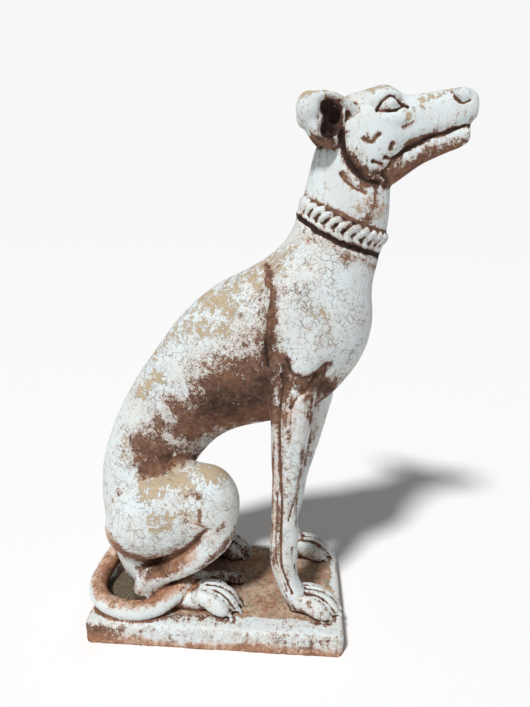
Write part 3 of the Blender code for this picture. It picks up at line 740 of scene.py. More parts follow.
def shut_in(obj):
    """Return how much of the sky each vertex misses, from 0 in the open to 1 in a deep hollow."""
    coarse = obj.copy()
    coarse.data = obj.data.copy()
    bpy.context.scene.collection.objects.link(coarse)
    melt(coarse, 0.0055)
    mesh = coarse.data
    points = get_points(mesh)
    normals = get_normals(mesh)
    tree = BVHTree.FromPolygons([tuple(p) for p in points], [tuple(p.vertices) for p in mesh.polygons])
    spread = []
    for k in range(18):
        z = 1.0 - (k + 0.5) / 18.0
        r = math.sqrt(1.0 - z * z)
        a = k * math.pi * (3.0 - math.sqrt(5.0))
        spread.append(Vector((r * math.cos(a), r * math.sin(a), z)))
    blocked = np.zeros(len(points))
    for i, (point, normal) in enumerate(zip(points, normals)):
        normal = Vector(normal)
        turn = Vector((0.0, 0.0, 1.0)).rotation_difference(normal)
        start = Vector(point) + normal * 0.004
        for ray in spread:
            way = turn @ ray
            if tree.ray_cast(start, way, 0.16)[0] is not None:
                blocked[i] += 1.0
    blocked = neighbour_means(mesh, blocked / len(spread), 2)
    find = kdtree.KDTree(len(points))
    for i, point in enumerate(points):
        find.insert(point, i)
    find.balance()
    result = np.empty(len(obj.data.vertices))
    for i, point in enumerate(get_points(obj.data)):
        found = find.find_n(point, 3)
        weights = [1.0 / (item[2] + 0.0005) for item in found]
        result[i] = sum(w * blocked[item[1]] for w, item in zip(weights, found)) / sum(weights)
    bpy.data.objects.remove(coarse)
    return result


def wandering(points):
    """Return a small sideways push for each point, so that stains get ragged outlines."""
    noise.seed_set(1)
    pushes = []
    for point in points:
        place = Vector(point)
        broad = noise.noise_vector(place * 55.0) * 0.0065
        fine = noise.noise_vector(place * 170.0) * 0.0028
        pushes.append(broad + fine)
    return np.array(pushes)


def stained(points, pushes, grid, strokes):
    """Return the strength of stains; a stain is a side-view path of x and z, a width and a strength."""
    result = np.zeros(len(points))
    side_view = np.array([1.0, 0.0, 1.0])
    for path, width, strength in strokes:
        line = np.array([grid.place(x, 0, z) for x, z in path]) * side_view
        flat = (points + pushes * min(width / 6.0, 1.0)) * side_view
        width *= grid.step
        close = np.all((flat > line.min(0) - 3.0 * width - 1e-6)
                       & (flat < line.max(0) + 3.0 * width + 1e-6), axis=1)
        far = distance_to_path(flat[close], line) / width
        result[close] = np.maximum(result[close], strength * np.exp(-far * far))
    return result


def collar_gaps(points, grid):
    """Return how far each point lies down between the links of the collar."""
    spot = (points - np.array(grid.place(*COLLAR_CENTRE))) / grid.step
    spot[:, 1] += grid.head_turn * np.maximum(spot[:, 0] + 7.0, 0.0) * (spot[:, 2] > 11.0)
    rise = spot @ COLLAR_UP
    out = np.hypot(spot @ (COLLAR_FORE / COLLAR_REACH) / COLLAR_REACH, spot[:, 1] / COLLAR_WIDTH)
    return share((1.03 - out) / 0.05) * share((14.5 - np.abs(rise + 5.5)) / 3.0)


# Where rust has lifted the paint; the lines along the collar and the marks in the ear, under the jaw and
# the haunch and along the mouth and eye are rust and painted shade.
RUST_AND_SHADE = (
    # Flank and belly, and the loin above the haunch.
    (((4, 366), (30, 380), (52, 398)), 50, 1.05),
    (((-45, 314), (-8, 330), (35, 340), (70, 352)), 24, 1.2), (((48, 425), (64, 446)), 25, 0.62),
    (((62, 470), (60, 500)), 14, 0.42), (((-60, 352), (-40, 325)), 18, 0.72),
    (((-82, 322), (-52, 306)), 13, 0.68), (((-98, 286), (-78, 274)), 28, 0.95),
    (((-111, 266), (-92, 256)), 13, 0.72),
    # Groove behind the shoulder and the armpit.
    (((65, 532), (69, 508), (72, 492), (70, 470), (67, 449), (70, 426), (76, 404)), 6.0, 1.0),
    (((80, 428), (88, 412), (94, 396), (90, 376)), 12, 0.95),
    (((100, 397), (124, 394), (152, 372)), 15, 1.0), (((120, 372), (124, 340)), 10, 0.8),
    (((84, 520), (112, 470), (100, 440)), 30, 0.14),
    # Lines above and below the collar: rust and a painted contact shadow.
    (((98, 598), (122, 583), (150, 570), (180, 560), (206, 552)), 4.0, 1.0),
    (((107, 624), (133, 611), (161, 599), (190, 588), (216, 579)), 2.0, 0.66),
    (((110, 580), (150, 556), (186, 543), (206, 538)), 8, 0.42),
    # Grooves of the forelegs, their front and their heels.
    (((86, 392), (85, 350), (85, 316), (88, 257), (86, 217), (90, 173), (88, 143), (97, 117), (107, 77)),
     4.2, 0.56),
    (((77, 313), (77, 254), (79, 139), (89, 106), (101, 72), (112, 56)), 2.4, 0.62),
    (((119, 335), (117, 280), (112, 240), (110, 218), (115, 181)), 3.2, 0.58),
    (((140, 352), (133, 314), (126, 262), (118, 205)), 8, 0.62), (((150, 60), (128, 66)), 5, 0.35),
    (((72, 300), (76, 200), (84, 110)), 5, 0.5), (((92, 380), (92, 300), (95, 200)), 9, 0.34),
    # Haunch, knee, hock and paws; the band under the haunch is rust and painted shade.
    (((-143, 138), (-121, 118), (-98, 108), (-72, 112), (-50, 127)), 10.5, 0.95),
    (((-128, 122), (-90, 118)), 16, 0.6), (((-71, 118), (-48, 136), (-31, 154), (-22, 173)), 4.0, 1.0),
    (((-96, 84), (-80, 98), (-61, 110), (-46, 121)), 9.5, 0.95), (((-18, 216), (-18, 196)), 5.5, 0.85),
    (((-34, 232), (-18, 236)), 6, 0.62), (((10, 190), (9, 183)), 7, 0.66),
    (((28, 176), (8, 147), (-20, 116)), 5, 0.7), (((-60, 300), (-38, 292)), 7, 0.7),
    (((-46, 42), (34, 42)), 22, 0.30), (((104, 50), (170, 44)), 20, 0.28),
    # Throat, jaw, mouth, cheek and ear; under the jaw, in the ear's bowl and along the mouth and eye it is
    # rust and painted shade.
    (((196, 632), (190, 614), (184, 596)), 9, 0.75), (((150, 600), (178, 590)), 8, 0.5),
    (((178, 636), (200, 640), (222, 650), (247, 662), (284, 680)), 8, 1.1),
    (((143, 704), (147, 686), (153, 668), (164, 653), (179, 643), (196, 639)), 6, 1.0),
    (((148, 650), (157, 641), (168, 634), (180, 629)), 3.2, 0.7),
    (((159, 667), (172, 656), (190, 650), (208, 653)), 7.5, 0.9),
    (((304, 711), (287, 705), (270, 699), (249, 692), (229, 681), (209, 669), (198, 669)), 2.0, 1.1),
    (((240, 692), (226, 686)), 4.5, 0.75), (((205, 652), (228, 664), (252, 676), (284, 690)), 9, 0.55),
    (((189, 694), (181, 688), (172, 690)), 4.5, 0.66), (((207, 685), (205, 679)), 4.5, 0.6),
    (((184, 664), (196, 662)), 4.0, 0.66),
    (((185, 720.5), (190, 730), (197, 736), (204, 735.5), (211, 729), (221, 725.5)), 1.25, 1.1),
    (((185, 720.5), (193, 720), (202, 720), (209, 722), (216, 726)), 1.1, 1.0),
    (((271, 742), (275, 735), (283, 730.5), (291, 733)), 1.3, 0.5),
    (((131, 720), (134, 708), (131, 694)), 10, 1.2), (((112, 690), (124, 682), (138, 680)), 6, 0.95),
    (((144, 716), (143, 700)), 5, 0.9),
)

# Where the rust is old and nearly black, and where black stands in as painted shade: in the ear's bowl, the
# armpit, under the haunch and the jaw, along the mouth and the eye, and under the collar.
BLACK_RUST_AND_SHADE = (
    (((0, 350), (40, 358), (66, 376)), 36, 0.60), (((66, 420), (70, 440)), 12, 0.5),
    (((86, 412), (92, 392), (126, 390), (150, 372)), 12, 0.55),
    (((-120, 106), (-98, 98), (-72, 102)), 12, 0.8), (((131, 720), (134, 708), (131, 694)), 12, 1.0),
    (((143, 704), (153, 666), (179, 641), (196, 637)), 6, 0.6),
    (((304, 711), (287, 705), (249, 692), (229, 681), (209, 669)), 2.4, 0.8),
    (((-40, 300), (-70, 262)), 9, 0.4), (((185, 720), (197, 736), (211, 729), (221, 725)), 1.6, 0.4),
    (((160, 664), (176, 650), (200, 648)), 7, 0.5),
    (((98, 597), (122, 582), (150, 569), (180, 559), (206, 551)), 3.5, 1.0),
)

# Where the rain has washed the paint down to the priming.
OCHRE = (
    (((-28, 489), (11, 488)), 15, 0.85),
    (((-110, 394), (-60, 448), (-9, 490), (44, 521), (79, 545)), 15, 0.56),
    (((-37, 454), (12, 455)), 13, 0.72), (((-84, 383), (-96, 371), (-110, 356)), 13, 0.8),
    (((44, 518), (52, 514)), 11, 0.8), (((30, 494), (17, 474)), 8, 0.75),
    (((-130, 292), (-134, 270)), 10, 0.62), (((139, 474), (128, 486)), 8, 0.55),
    (((79, 540), (96, 560)), 9, 0.55), (((-106, 242), (-96, 224)), 9, 0.7),
    (((-88, 236), (-60, 250), (-35, 242)), 13, 0.85), (((-14, 262), (14, 258)), 14, 0.8),
    (((-86, 202), (-44, 207)), 9.5, 0.8), (((-78, 182), (-61, 188)), 8.5, 0.75),
    (((-112, 142), (-104, 136)), 8, 0.6), (((100, 738), (120, 742)), 9, 0.95),
    (((176, 744), (196, 750)), 8, 0.6), (((222, 714), (227, 722)), 5, 1.1),
    (((236, 730), (246, 738)), 6, 0.9), (((258, 738), (268, 742)), 5, 0.75),
    (((204, 738), (214, 730)), 4, 0.7), (((150, 702), (154, 690)), 5, 0.7),
    (((140, 728), (152, 732)), 8, 0.6), (((164, 658), (178, 652)), 6, 0.75),
    (((168, 612), (176, 610)), 5, 0.6), (((258, 746), (286, 750)), 5, 0.55),
)

# Where run-off has stained the paint orange.
WASH = (
    (((-152, 150), (-140, 122), (-115, 108), (-85, 112), (-60, 124)), 15, 0.75),
    (((-110, 66), (-84, 92), (-60, 108), (-30, 140)), 11, 0.6), (((-24, 200), (0, 160)), 10, 0.4),
    (((150, 640), (180, 622), (205, 604)), 11, 0.32), (((112, 574), (150, 556), (205, 538)), 7, 0.26),
    (((80, 340), (80, 220), (90, 110)), 6, 0.35), (((104, 60), (150, 46)), 7, 0.3),
    (((-60, 48), (-20, 44)), 8, 0.4), (((-10, 300), (60, 330), (110, 380)), 20, 0.4),
)

# Where the paint has crackled.
CRACKLE = (
    (((-110, 130), (-105, 240), (-70, 350), (0, 440), (80, 500), (150, 470)), 62, 1.0),
    (((-20, 200), (-60, 220)), 55, 1.0), (((110, 540), (170, 560)), 40, 0.8),
    (((100, 300), (100, 120)), 26, 0.6),
)


def record_weather(obj, grid, sizes):
    """Work out where the paint is worn, rusted, washed bare, crackled or grown over, and where shade is
    painted in.
    """
    mesh = obj.data
    points = get_points(mesh)
    normals = get_normals(mesh)
    fine = neighbour_means(mesh, points, 6)
    broad = neighbour_means(mesh, points, 60)
    hollow = ((fine - points) * normals).sum(1) / 0.0005
    valley = ((broad - points) * normals).sum(1) / 0.0025
    upward = neighbour_means(mesh, normals[:, 2], 4)
    x, y, z = points.T
    on_plinth = share((sizes.plinth_thickness + 0.001 - z) / 0.002)
    top = share((sizes.plinth_thickness + 0.003 - z) / 0.002) * share((upward - 0.8) / 0.15)
    sides = on_plinth * (1.0 - top)
    dog = 1.0 - on_plinth
    front = -sizes.plinth_width / 2.0
    end = sizes.plinth_length / 2.0

    # The plinth's sides are rusty along the foot and most of all at the tail's corner.
    foot = share((0.021 + 0.004 * np.sin(x * 31.0) - z) / 0.016) * (1.0 - top)
    corner = share((-0.095 - x) / 0.07) * share((0.034 - z) / 0.006) * (1.0 - top)
    pushes = wandering(points)
    gaps = collar_gaps(points, grid)
    # Between the collar's links the rust is also painted shade.
    rust = np.maximum(stained(points, pushes, grid, RUST_AND_SHADE) * dog, gaps * 1.1)
    rust = np.maximum(rust, np.maximum(foot * 0.60, corner * 0.95) * on_plinth)
    rust = np.maximum(rust, 0.30 * sides)

    # Soil lies inside the tail, and the tail's upper side is stained toward it.
    tail_line = np.array([grid.place(px, py, pz) for px, py, pz, _ in TAIL])
    tail_far = distance_to_path(points, tail_line[:10]) / (sizes.tail_diameter / 2.0)
    heap = np.array(grid.place(-120, -42, 35))
    loop_far = np.hypot((x - heap[0]) / 0.060, (y - heap[1]) / 0.040)
    soil = (share(1.45 - loop_far) * share((0.058 - z) / 0.004)
            * share((tail_far - 1.12) / 0.12) * (z > 0.030))
    toward = heap - points
    toward /= np.linalg.norm(toward, axis=1)[:, None]
    inner = share(0.5 * (normals * toward).sum(1) + 1.1 * upward + 0.15)
    on_tail = share((1.40 - tail_far) / 0.15) * (z < 0.085)

    ground = (top * share((y - front - 0.022) / 0.014) * share((-front - 0.004 - y) / 0.012)
              * share((end - 0.006 - np.abs(x)) / 0.014))
    fresh = np.maximum(on_tail * inner, foot * on_plinth)
    fresh = np.maximum(fresh, stained(points, pushes, grid, WASH) * dog)
    set_number(mesh, "hollow", np.clip(hollow, -1.0, 1.0))
    set_number(mesh, "valley", np.clip(valley, -1.0, 1.0))
    # How much sky each vertex misses; the finish paints shade with it on the sand, in the rust and in the
    # paint's stains.
    set_number(mesh, "shade", shut_in(obj))
    set_number(mesh, "upward", upward)
    # The rust number also holds painted shade: the lines along the collar, the gaps between its links and
    # the creases of the face.
    set_number(mesh, "rust", np.maximum(rust, on_tail * inner * 0.58))
    # Old black rust, and black painted in as shade in the ear, under the jaw and the haunch, along the
    # mouth and between the collar's links.
    set_number(mesh, "black_rust_and_shade", np.maximum(stained(points, pushes, grid, BLACK_RUST_AND_SHADE) * dog, gaps * 0.8))
    set_number(mesh, "ochre", stained(points, pushes, grid, OCHRE) * dog)
    set_number(mesh, "crackle", np.maximum(stained(points, pushes, grid, CRACKLE) * dog, 0.32 * sides))
    set_number(mesh, "fresh", fresh)
    set_number(mesh, "ground", ground)
    set_number(mesh, "soil", soil)


def model_statue(sizes):
    """Model the dog and its plinth as one skin."""
    grid = PoseGrid(sizes)
    bm = bmesh.new()
    body_masses(bm)
    casting = to_object(bm, STATUE, grid)
    melt(casting, sizes.mass_voxel)
    legs = np.clip((get_points(casting.data)[:, 2] - 0.06) / 0.1, 0.15, 1.0)
    relax(casting.data, 16, 0.5 * legs)
    swell(casting.data, 0.0016 * legs)
    carve_masses(casting.data, grid)
    relax(casting.data, 2, 0.4)
    bm = bmesh.new()
    head(bm)
    collar(bm, grid.step, sizes.link_thickness, sizes.links_round)
    tail(bm, grid.step, sizes.tail_diameter)
    for place in PAWS:
        paw(bm, *place)
    # Soil and moss heaped under the haunch, inside the tail.
    egg(bm, (-104, -56, 37), (27, 19, 14))
    join(casting, to_object(bm, "Details", grid))
    join(casting, plinth(sizes))
    melt(casting, sizes.shape_voxel)
    keep_largest(casting)
    relax(casting.data, 5, 0.45)
    carve_legs(casting.data, grid)
    carve_head(casting.data, grid)
    carve_paws(casting.data, grid)
    relax(casting.data, 1, 0.35)
    roughen(casting.data)
    ratio = sizes.triangles / (len(casting.data.polygons) * 2.0)
    if ratio < 1.0:
        thin = casting.modifiers.new("Fewer faces", "DECIMATE")
        thin.ratio = ratio
        thin.use_collapse_triangulate = True
        apply_modifiers(casting)
    points = get_points(casting.data)
    flat = points[:, 2] < 0.0012
    points[flat, 2] = 0.0
    lowest, highest = (np.array(corner) for corner in CAD_BOX)
    set_points(casting.data, np.clip(points, lowest, highest))
    return casting, grid


class Finish:
    """Builds the nodes of one material."""

    def __init__(self, name):
        self.material = bpy.data.materials.new(name)
        self.material.use_nodes = True
        self.nodes = self.material.node_tree.nodes
        self.links = self.material.node_tree.links
        self.shader = self.nodes["Principled BSDF"]
        self.place = self.nodes.new("ShaderNodeTexCoord").outputs["Object"]

    def feed(self, socket, value):
        if isinstance(value, bpy.types.NodeSocket):
            self.links.new(value, socket)
        elif isinstance(value, (tuple, list)) and len(value) == 3 and socket.type == "RGBA":
            socket.default_value = (*value, 1.0)
        else:
            socket.default_value = value

    def math(self, operation, a, b=0.5, c=0.5, clamp=False):
        node = self.nodes.new("ShaderNodeMath")
        node.operation = operation
        node.use_clamp = clamp
        for socket, value in zip(node.inputs, (a, b, c)):
            self.feed(socket, value)
        return node.outputs[0]

    def span(self, value, low, high, to_low=0.0, to_high=1.0, smooth=False):
        """Map a range of a number to another range."""
        node = self.nodes.new("ShaderNodeMapRange")
        node.interpolation_type = "SMOOTHSTEP" if smooth else "LINEAR"
        for name, item in (("Value", value), ("From Min", low), ("From Max", high),
                           ("To Min", to_low), ("To Max", to_high)):
            self.feed(node.inputs[name], item)
        return node.outputs["Result"]

    def mix(self, share, a, b, mode="MIX"):
        """Mix two colours."""
        node = self.nodes.new("ShaderNodeMix")
        node.data_type = "RGBA"
        node.blend_type = mode
        self.feed(node.inputs["Factor"], share)
        self.feed(node.inputs[6], a)
        self.feed(node.inputs[7], b)
        return node.outputs[2]

    def read(self, name):
        """Read one of the numbers kept on the mesh."""
        node = self.nodes.new("ShaderNodeAttribute")
        node.attribute_name = name
        return node.outputs["Fac"]

    def noise(self, scale, detail=4.0, roughness=0.55, shift=0.0, place=None):
        node = self.nodes.new("ShaderNodeTexNoise")
        node.noise_dimensions = "4D"
        self.feed(node.inputs["Vector"], place or self.place)
        node.inputs["W"].default_value = shift
        node.inputs["Scale"].default_value = scale
        node.inputs["Detail"].default_value = detail
        node.inputs["Roughness"].default_value = roughness
        return node.outputs["Fac"]

    def scaled(self, place, by):
        """Return the place scaled along its axes."""
        node = self.nodes.new("ShaderNodeVectorMath")
        node.operation = "MULTIPLY"
        self.feed(node.inputs[0], place)
        node.inputs[1].default_value = by
        return node.outputs[0]

    def pushed(self, place, scale, amount):
        """Return the place pushed about by noise, so that patterns aren't regular."""
        wander = self.nodes.new("ShaderNodeTexNoise")
        self.feed(wander.inputs["Vector"], self.place)
        wander.inputs["Scale"].default_value = scale
        wander.inputs["Detail"].default_value = 3.0
        push = self.nodes.new("ShaderNodeVectorMath")
        push.operation = "MULTIPLY_ADD"
        self.feed(push.inputs[0], wander.outputs["Color"])
        push.inputs[1].default_value = (amount, amount, amount)
        self.feed(push.inputs[2], place)
        return push.outputs[0]

    def cells(self, scale, place, feature="DISTANCE_TO_EDGE"):
        node = self.nodes.new("ShaderNodeTexVoronoi")
        node.feature = feature
        self.feed(node.inputs["Vector"], place)
        node.inputs["Scale"].default_value = scale
        return node.outputs["Distance"]

    def added(self, start, *terms):
        """Add numbers, each times its weight, to a first number."""
        for value, weight in terms:
            start = self.math("MULTIPLY_ADD", value, weight, start)
        return start

    def either_way(self, value):
        """Turn noise from 0 to 1 into noise about 0."""
        return self.math("SUBTRACT", value, 0.5)


def weathered_paint(colours):
    """Old crackled paint over priming and rusted iron, with soil and lichen, and shade painted into the
    hollows and under the dog.
    """
    f = Finish("weathered paint on cast iron")
    hollow = f.math("MAXIMUM", f.read("hollow"), 0.0)
    valley = f.math("MAXIMUM", f.read("valley"), 0.0)
    shade, upward, rust, black_rust_and_shade = f.read("shade"), f.read("upward"), f.read("rust"), f.read("black_rust_and_shade")
    ochre, crackle, fresh = f.read("ochre"), f.read("crackle"), f.read("fresh")
    ground, soil = f.read("ground"), f.read("soil")

    # Crackle: a coarse net and a fine one, jagged, broken and of uneven width.
    jagged = f.pushed(f.pushed(f.place, 48.0, 0.016), 420.0, 0.0030)
    width = f.span(f.noise(60.0, 3.0, 0.6, 2.6), 0.35, 0.70, 0.022, 0.075)
    coarse = f.math("MULTIPLY", f.span(f.math("DIVIDE", f.cells(92.0, jagged), width), 0.45, 1.0, 1.0, 0.0),
                    f.span(f.noise(44.0, 5.0, 0.65, 1.5), 0.46, 0.56))
    fine = f.math("MULTIPLY", f.span(f.cells(190.0, jagged), 0.02, 0.075, 1.0, 0.0),
                  f.span(f.noise(52.0, 5.0, 0.65, 4.5), 0.49, 0.60, 0.0, 0.7))
    net = f.math("MULTIPLY", f.math("MAXIMUM", coarse, fine), f.span(crackle, 0.10, 0.45))

    # How far the paint is worn at a place: what the place does to it, and then the grain. Hollows, places
    # hidden from the sky and undersides get rust-brown partly as painted shade.
    blotch = f.either_way(f.noise(44.0, 5.0, 0.62, 2.2))
    grain = f.either_way(f.noise(190.0, 6.0, 0.72, 0.3))
    speck = f.either_way(f.noise(620.0, 3.0, 0.65, 7.1))
    # Rain runs down the legs and the face and leaves upright streaks there.
    streak = f.either_way(f.noise(150.0, 4.0, 0.6, 3.9, f.scaled(f.place, (1.0, 1.0, 0.16))))
    running = f.math("MULTIPLY", streak, f.span(crackle, 0.0, 0.7, 1.0, 0.2))
    wear_and_shade = f.added(rust, (hollow, 0.90), (valley, 0.75), (f.span(shade, 0.25, 0.80), 0.55), (crackle, 0.09),
                   (f.span(upward, -0.1, -0.9), 0.40), (black_rust_and_shade, 0.15), (blotch, 1.6), (grain, 2.2),
                   (speck, 1.6), (running, 2.2))
    rust_and_shade_cover = f.span(wear_and_shade, 0.60, 0.70, smooth=True)
    stained = f.span(wear_and_shade, 0.15, 0.62, smooth=True)

    island = f.either_way(f.noise(165.0, 6.0, 0.68, 7.7, jagged))
    washed = f.added(f.math("MULTIPLY", ochre, 0.60), (f.span(upward, 0.35, 1.0), 0.12), (crackle, 0.10),
                     (net, 0.06), (island, 2.6), (speck, 0.8))
    bare = f.span(washed, 0.42, 0.47, smooth=True)

    # Paint with its stains, cracks and pits.
    paint = f.mix(f.span(f.noise(11.0, 4.0, 0.6, 3.3), 0.45, 0.72, 0.0, 0.65), tuple(colours.paint),
                  tuple(colours.cream))
    paint = f.mix(f.span(f.noise(380.0, 3.0, 0.6, 5.1), 0.45, 0.75, 0.0, 0.22), paint, (0.47, 0.50, 0.50))
    # The paint browns where wear and painted shade run high.
    paint = f.mix(f.math("MULTIPLY", stained, 0.66), paint, (0.45, 0.30, 0.21))
    wash = f.added(f.math("MULTIPLY", fresh, 0.9), (blotch, 1.8), (grain, 1.4))
    wash = f.span(wash, 0.05, 0.75, smooth=True)
    stain = f.mix(f.span(f.noise(120.0, 6.0, 0.7, 4.4), 0.42, 0.62), (0.60, 0.37, 0.235),
                  (0.35, 0.155, 0.085))
    paint = f.mix(f.math("MULTIPLY", wash, f.span(fresh, 0.02, 0.25, 0.0, 0.84)), paint, stain)
    line = f.mix(f.span(f.noise(30.0, 3.0, 0.5, 8.1), 0.42, 0.58), (0.15, 0.09, 0.065), (0.33, 0.25, 0.17))
    paint = f.mix(f.math("MULTIPLY", net, 0.70), paint, line)
    pits = f.math("MULTIPLY", f.span(f.cells(300.0, f.place, "F1"), 0.10, 0.20, 1.0, 0.0),
                  f.span(f.noise(75.0, 3.0, 0.6, 8.8), 0.53, 0.60))
    paint = f.mix(f.math("MULTIPLY", pits, 0.9), paint, (0.085, 0.055, 0.045))

    # Rust from near black in the hollows to orange where water runs; the near black is partly painted shade
    # where the sky is hidden.
    iron = f.mix(f.span(f.noise(150.0, 6.0, 0.72, 6.0), 0.42, 0.72), tuple(colours.rust),
                 (0.33, 0.19, 0.125))
    iron = f.mix(f.math("MULTIPLY", f.span(f.noise(26.0, 4.0, 0.6, 9.0), 0.50, 0.66), 0.45), iron,
                 (0.24, 0.115, 0.055))
    # Painted shade: the rust goes to near black along the black strokes, where the sky is hidden and in
    # hollows.
    old_rust_and_shade = f.added(f.math("MULTIPLY", black_rust_and_shade, 1.0), (f.span(shade, 0.35, 0.95), 0.55), (hollow, 0.40),
                    (f.either_way(f.noise(95.0, 6.0, 0.72, 5.4)), 1.9))
    iron = f.mix(f.span(old_rust_and_shade, 0.10, 0.80), iron, tuple(colours.dark_rust_and_shade))
    run_off = f.math("MULTIPLY", fresh, f.span(f.noise(85.0, 6.0, 0.7, 2.7), 0.36, 0.62, 0.0, 0.9))
    iron = f.mix(run_off, iron, tuple(colours.orange))

    priming = f.mix(f.span(f.noise(260.0, 4.0, 0.7, 2.9), 0.35, 0.70), tuple(colours.ochre),
                    (0.40, 0.31, 0.205))
    colour = f.mix(bare, paint, priming)
    colour = f.mix(rust_and_shade_cover, colour, iron)

    # The plinth's upper face: rusty sand with grey-green spots, darkened as painted shade where the dog
    # hides the sky, and soil inside the tail.
    sand_and_shade = f.mix(f.span(f.noise(30.0, 6.0, 0.65, 1.1), 0.44, 0.56), (0.50, 0.365, 0.26), (0.37, 0.20, 0.12))
    sand_and_shade = f.mix(f.span(f.noise(200.0, 6.0, 0.75, 9.1), 0.53, 0.63, 0.0, 0.7), sand_and_shade, (0.62, 0.55, 0.45))
    sand_and_shade = f.mix(f.span(f.noise(150.0, 6.0, 0.75, 4.1), 0.50, 0.60, 0.0, 0.8), sand_and_shade, (0.17, 0.10, 0.068))
    sand_and_shade = f.mix(f.span(f.noise(50.0, 5.0, 0.7, 5.9), 0.55, 0.61, 0.0, 0.8), sand_and_shade, tuple(colours.lichen))
    # Painted shade: the sand darkens where the dog hides the sky.
    sand_and_shade = f.mix(f.span(shade, 0.45, 0.95, 0.0, 0.65), sand_and_shade, (0.15, 0.10, 0.075))
    on_sand = f.span(f.added(ground, (grain, 1.2), (blotch, 0.8)), 0.42, 0.58, smooth=True)
    colour = f.mix(on_sand, colour, sand_and_shade)
    # Soil inside the tail, its colours kept dark partly as painted shade under the haunch.
    earth_and_shade = f.mix(f.span(f.noise(330.0, 5.0, 0.8, 3.8), 0.47, 0.68), tuple(colours.soil),
                  (0.33, 0.285, 0.18))
    earth_and_shade = f.mix(f.span(f.noise(900.0, 2.0, 0.6, 1.9), 0.55, 0.65, 0.0, 0.8), earth_and_shade, (0.05, 0.04, 0.028))
    on_soil = f.span(f.added(soil, (grain, 0.9)), 0.30, 0.42, smooth=True)
    colour = f.mix(on_soil, colour, earth_and_shade)
    f.feed(f.shader.inputs["Base Color"], colour)

    off = f.math("MAXIMUM", f.math("MAXIMUM", rust_and_shade_cover, bare), f.math("MAXIMUM", on_sand, on_soil))
    f.feed(f.shader.inputs["Roughness"], f.span(off, 0.0, 1.0, 0.62, 0.92))
    f.shader.inputs["Metallic"].default_value = 0.0
    f.shader.inputs["Specular IOR Level"].default_value = 0.30

    relief = f.added(f.math("MULTIPLY", off, -0.40), (net, -0.40), (pits, -0.45),
                     (f.noise(420.0, 5.0, 0.65, 6.6), 0.40),
                     (f.math("MULTIPLY", f.noise(1100.0, 3.0, 0.6, 1.6), on_soil), 1.2))
    bump = f.nodes.new("ShaderNodeBump")
    bump.inputs["Distance"].default_value = 0.0010
    bump.inputs["Strength"].default_value = 0.8
    f.feed(bump.inputs["Height"], relief)
    f.feed(f.shader.inputs["Normal"], bump.outputs["Normal"])
    return f.material


class STATUE_OT_cast(bpy.types.Operator):
    """Model the greyhound on its plinth as one casting"""

    bl_idname = "greyhound.cast"
    bl_label = "Cast the statue"

    def execute(self, context):
        sizes = context.scene.greyhound_sizes
        casting, grid = model_statue(sizes)
        record_weather(casting, grid, sizes)
        casting.data.shade_smooth()
        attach(casting, "root")
        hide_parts("statue")
        return {"FINISHED"}


class STATUE_OT_weather(bpy.types.Operator):
    """Give the casting its old paint, rust and soil, with painted shade"""

    bl_idname = "greyhound.weather"
    bl_label = "Weather the statue"

    def execute(self, context):
        casting = bpy.data.objects.get(STATUE)
        if casting is None:
            raise RuntimeError("cast the statue before it is weathered")
        casting.data.materials.clear()
        casting.data.materials.append(weathered_paint(context.scene.greyhound_colours))
        return {"FINISHED"}


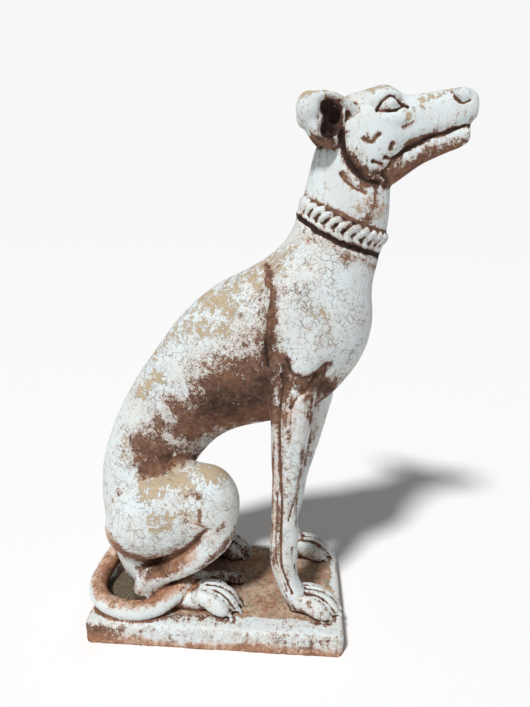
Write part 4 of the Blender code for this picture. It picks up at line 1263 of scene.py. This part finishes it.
class STATUE_OT_stage(bpy.types.Operator):
    """Set the statue on a pale floor in soft light, seen as in the photograph"""

    bl_idname = "greyhound.stage"
    bl_label = "Set the stage"

    def execute(self, context):
        stage = context.scene.greyhound_stage
        bm = bmesh.new()
        bmesh.ops.create_grid(bm, x_segments=1, y_segments=1, size=6.0)
        floor = to_object(bm, "floor")
        tone = bpy.data.materials.new("pale floor")
        tone.use_nodes = True
        shader = tone.node_tree.nodes["Principled BSDF"]
        shader.inputs["Base Color"].default_value = (*stage.floor_colour, 1.0)
        shader.inputs["Roughness"].default_value = 0.9
        floor.data.materials.append(tone)

        world = bpy.data.worlds.new("Studio")
        world.use_nodes = True
        sky = world.node_tree.nodes["Background"]
        sky.inputs["Color"].default_value = (1.0, 1.0, 1.0, 1.0)
        # The fill is dim, and the backdrop that is seen behind the statue is as pale as the floor.
        seen = world.node_tree.nodes.new("ShaderNodeLightPath").outputs["Is Camera Ray"]
        strength = world.node_tree.nodes.new("ShaderNodeMapRange")
        strength.inputs["To Min"].default_value = stage.fill_strength
        strength.inputs["To Max"].default_value = stage.backdrop
        world.node_tree.links.new(seen, strength.inputs["Value"])
        world.node_tree.links.new(strength.outputs["Result"], sky.inputs["Strength"])
        context.scene.world = world
        key = bpy.data.lights.new("Key", "SUN")
        key.energy = stage.sun_strength
        key.angle = math.radians(7.0)
        lamp = bpy.data.objects.new("Key", key)
        lamp.rotation_euler = Vector(KEY_WAY).to_track_quat("-Z", "Y").to_euler()
        context.scene.collection.objects.link(lamp)

        yaw, pitch, roll = (math.radians(a) for a in (2.9, 17.4, 1.2))
        ahead = Vector((-math.sin(yaw) * math.cos(pitch), math.cos(yaw) * math.cos(pitch),
                        -math.sin(pitch)))
        level = Vector((math.cos(yaw), math.sin(yaw), 0.0))
        upright = level.cross(ahead)
        right = math.cos(roll) * level + math.sin(roll) * upright
        up = math.cos(roll) * upright - math.sin(roll) * level
        camera = bpy.data.objects.new("Camera", bpy.data.cameras.new("Camera"))
        camera.matrix_world = Matrix((right, up, -ahead)).transposed().to_4x4()
        camera.location = CAMERA_PLACE
        camera.data.sensor_fit = "VERTICAL"
        camera.data.sensor_height = 36.0
        camera.data.lens = stage.lens
        camera.data.clip_start = 0.02
        context.scene.collection.objects.link(camera)
        context.scene.camera = camera
        context.scene.view_settings.view_transform = "Standard"
        return {"FINISHED"}


class STATUE_PT_panel(bpy.types.Panel):
    """Sizes, colours and steps of the statue"""

    bl_idname = "STATUE_PT_panel"
    bl_label = "Cast iron greyhound"
    bl_space_type = "VIEW_3D"
    bl_region_type = "UI"
    bl_category = "Greyhound"

    def draw(self, context):
        layout = self.layout
        for title, group in (("Sizes", context.scene.greyhound_sizes),
                             ("Colours", context.scene.greyhound_colours),
                             ("Stage", context.scene.greyhound_stage)):
            box = layout.box()
            box.label(text=title)
            for name in group.__annotations__:
                box.prop(group, name)
        for operator in OPERATORS:
            layout.operator(operator.bl_idname)


OPERATORS = (STATUE_OT_cast, STATUE_OT_weather, STATUE_OT_stage)
CLASSES = (StatueSizes, StatueColours, StageSettings) + OPERATORS + (STATUE_PT_panel,)


def register():
    for cls in CLASSES:
        bpy.utils.register_class(cls)
    bpy.types.Scene.greyhound_sizes = bpy.props.PointerProperty(type=StatueSizes)
    bpy.types.Scene.greyhound_colours = bpy.props.PointerProperty(type=StatueColours)
    bpy.types.Scene.greyhound_stage = bpy.props.PointerProperty(type=StageSettings)


def unregister():
    for name in ("greyhound_stage", "greyhound_colours", "greyhound_sizes"):
        delattr(bpy.types.Scene, name)
    for cls in reversed(CLASSES):
        bpy.utils.unregister_class(cls)


def main():
    register()
    bpy.ops.greyhound.cast()
    bpy.ops.greyhound.weather()
    bpy.ops.greyhound.stage()


if __name__ == "__main__":
    main()
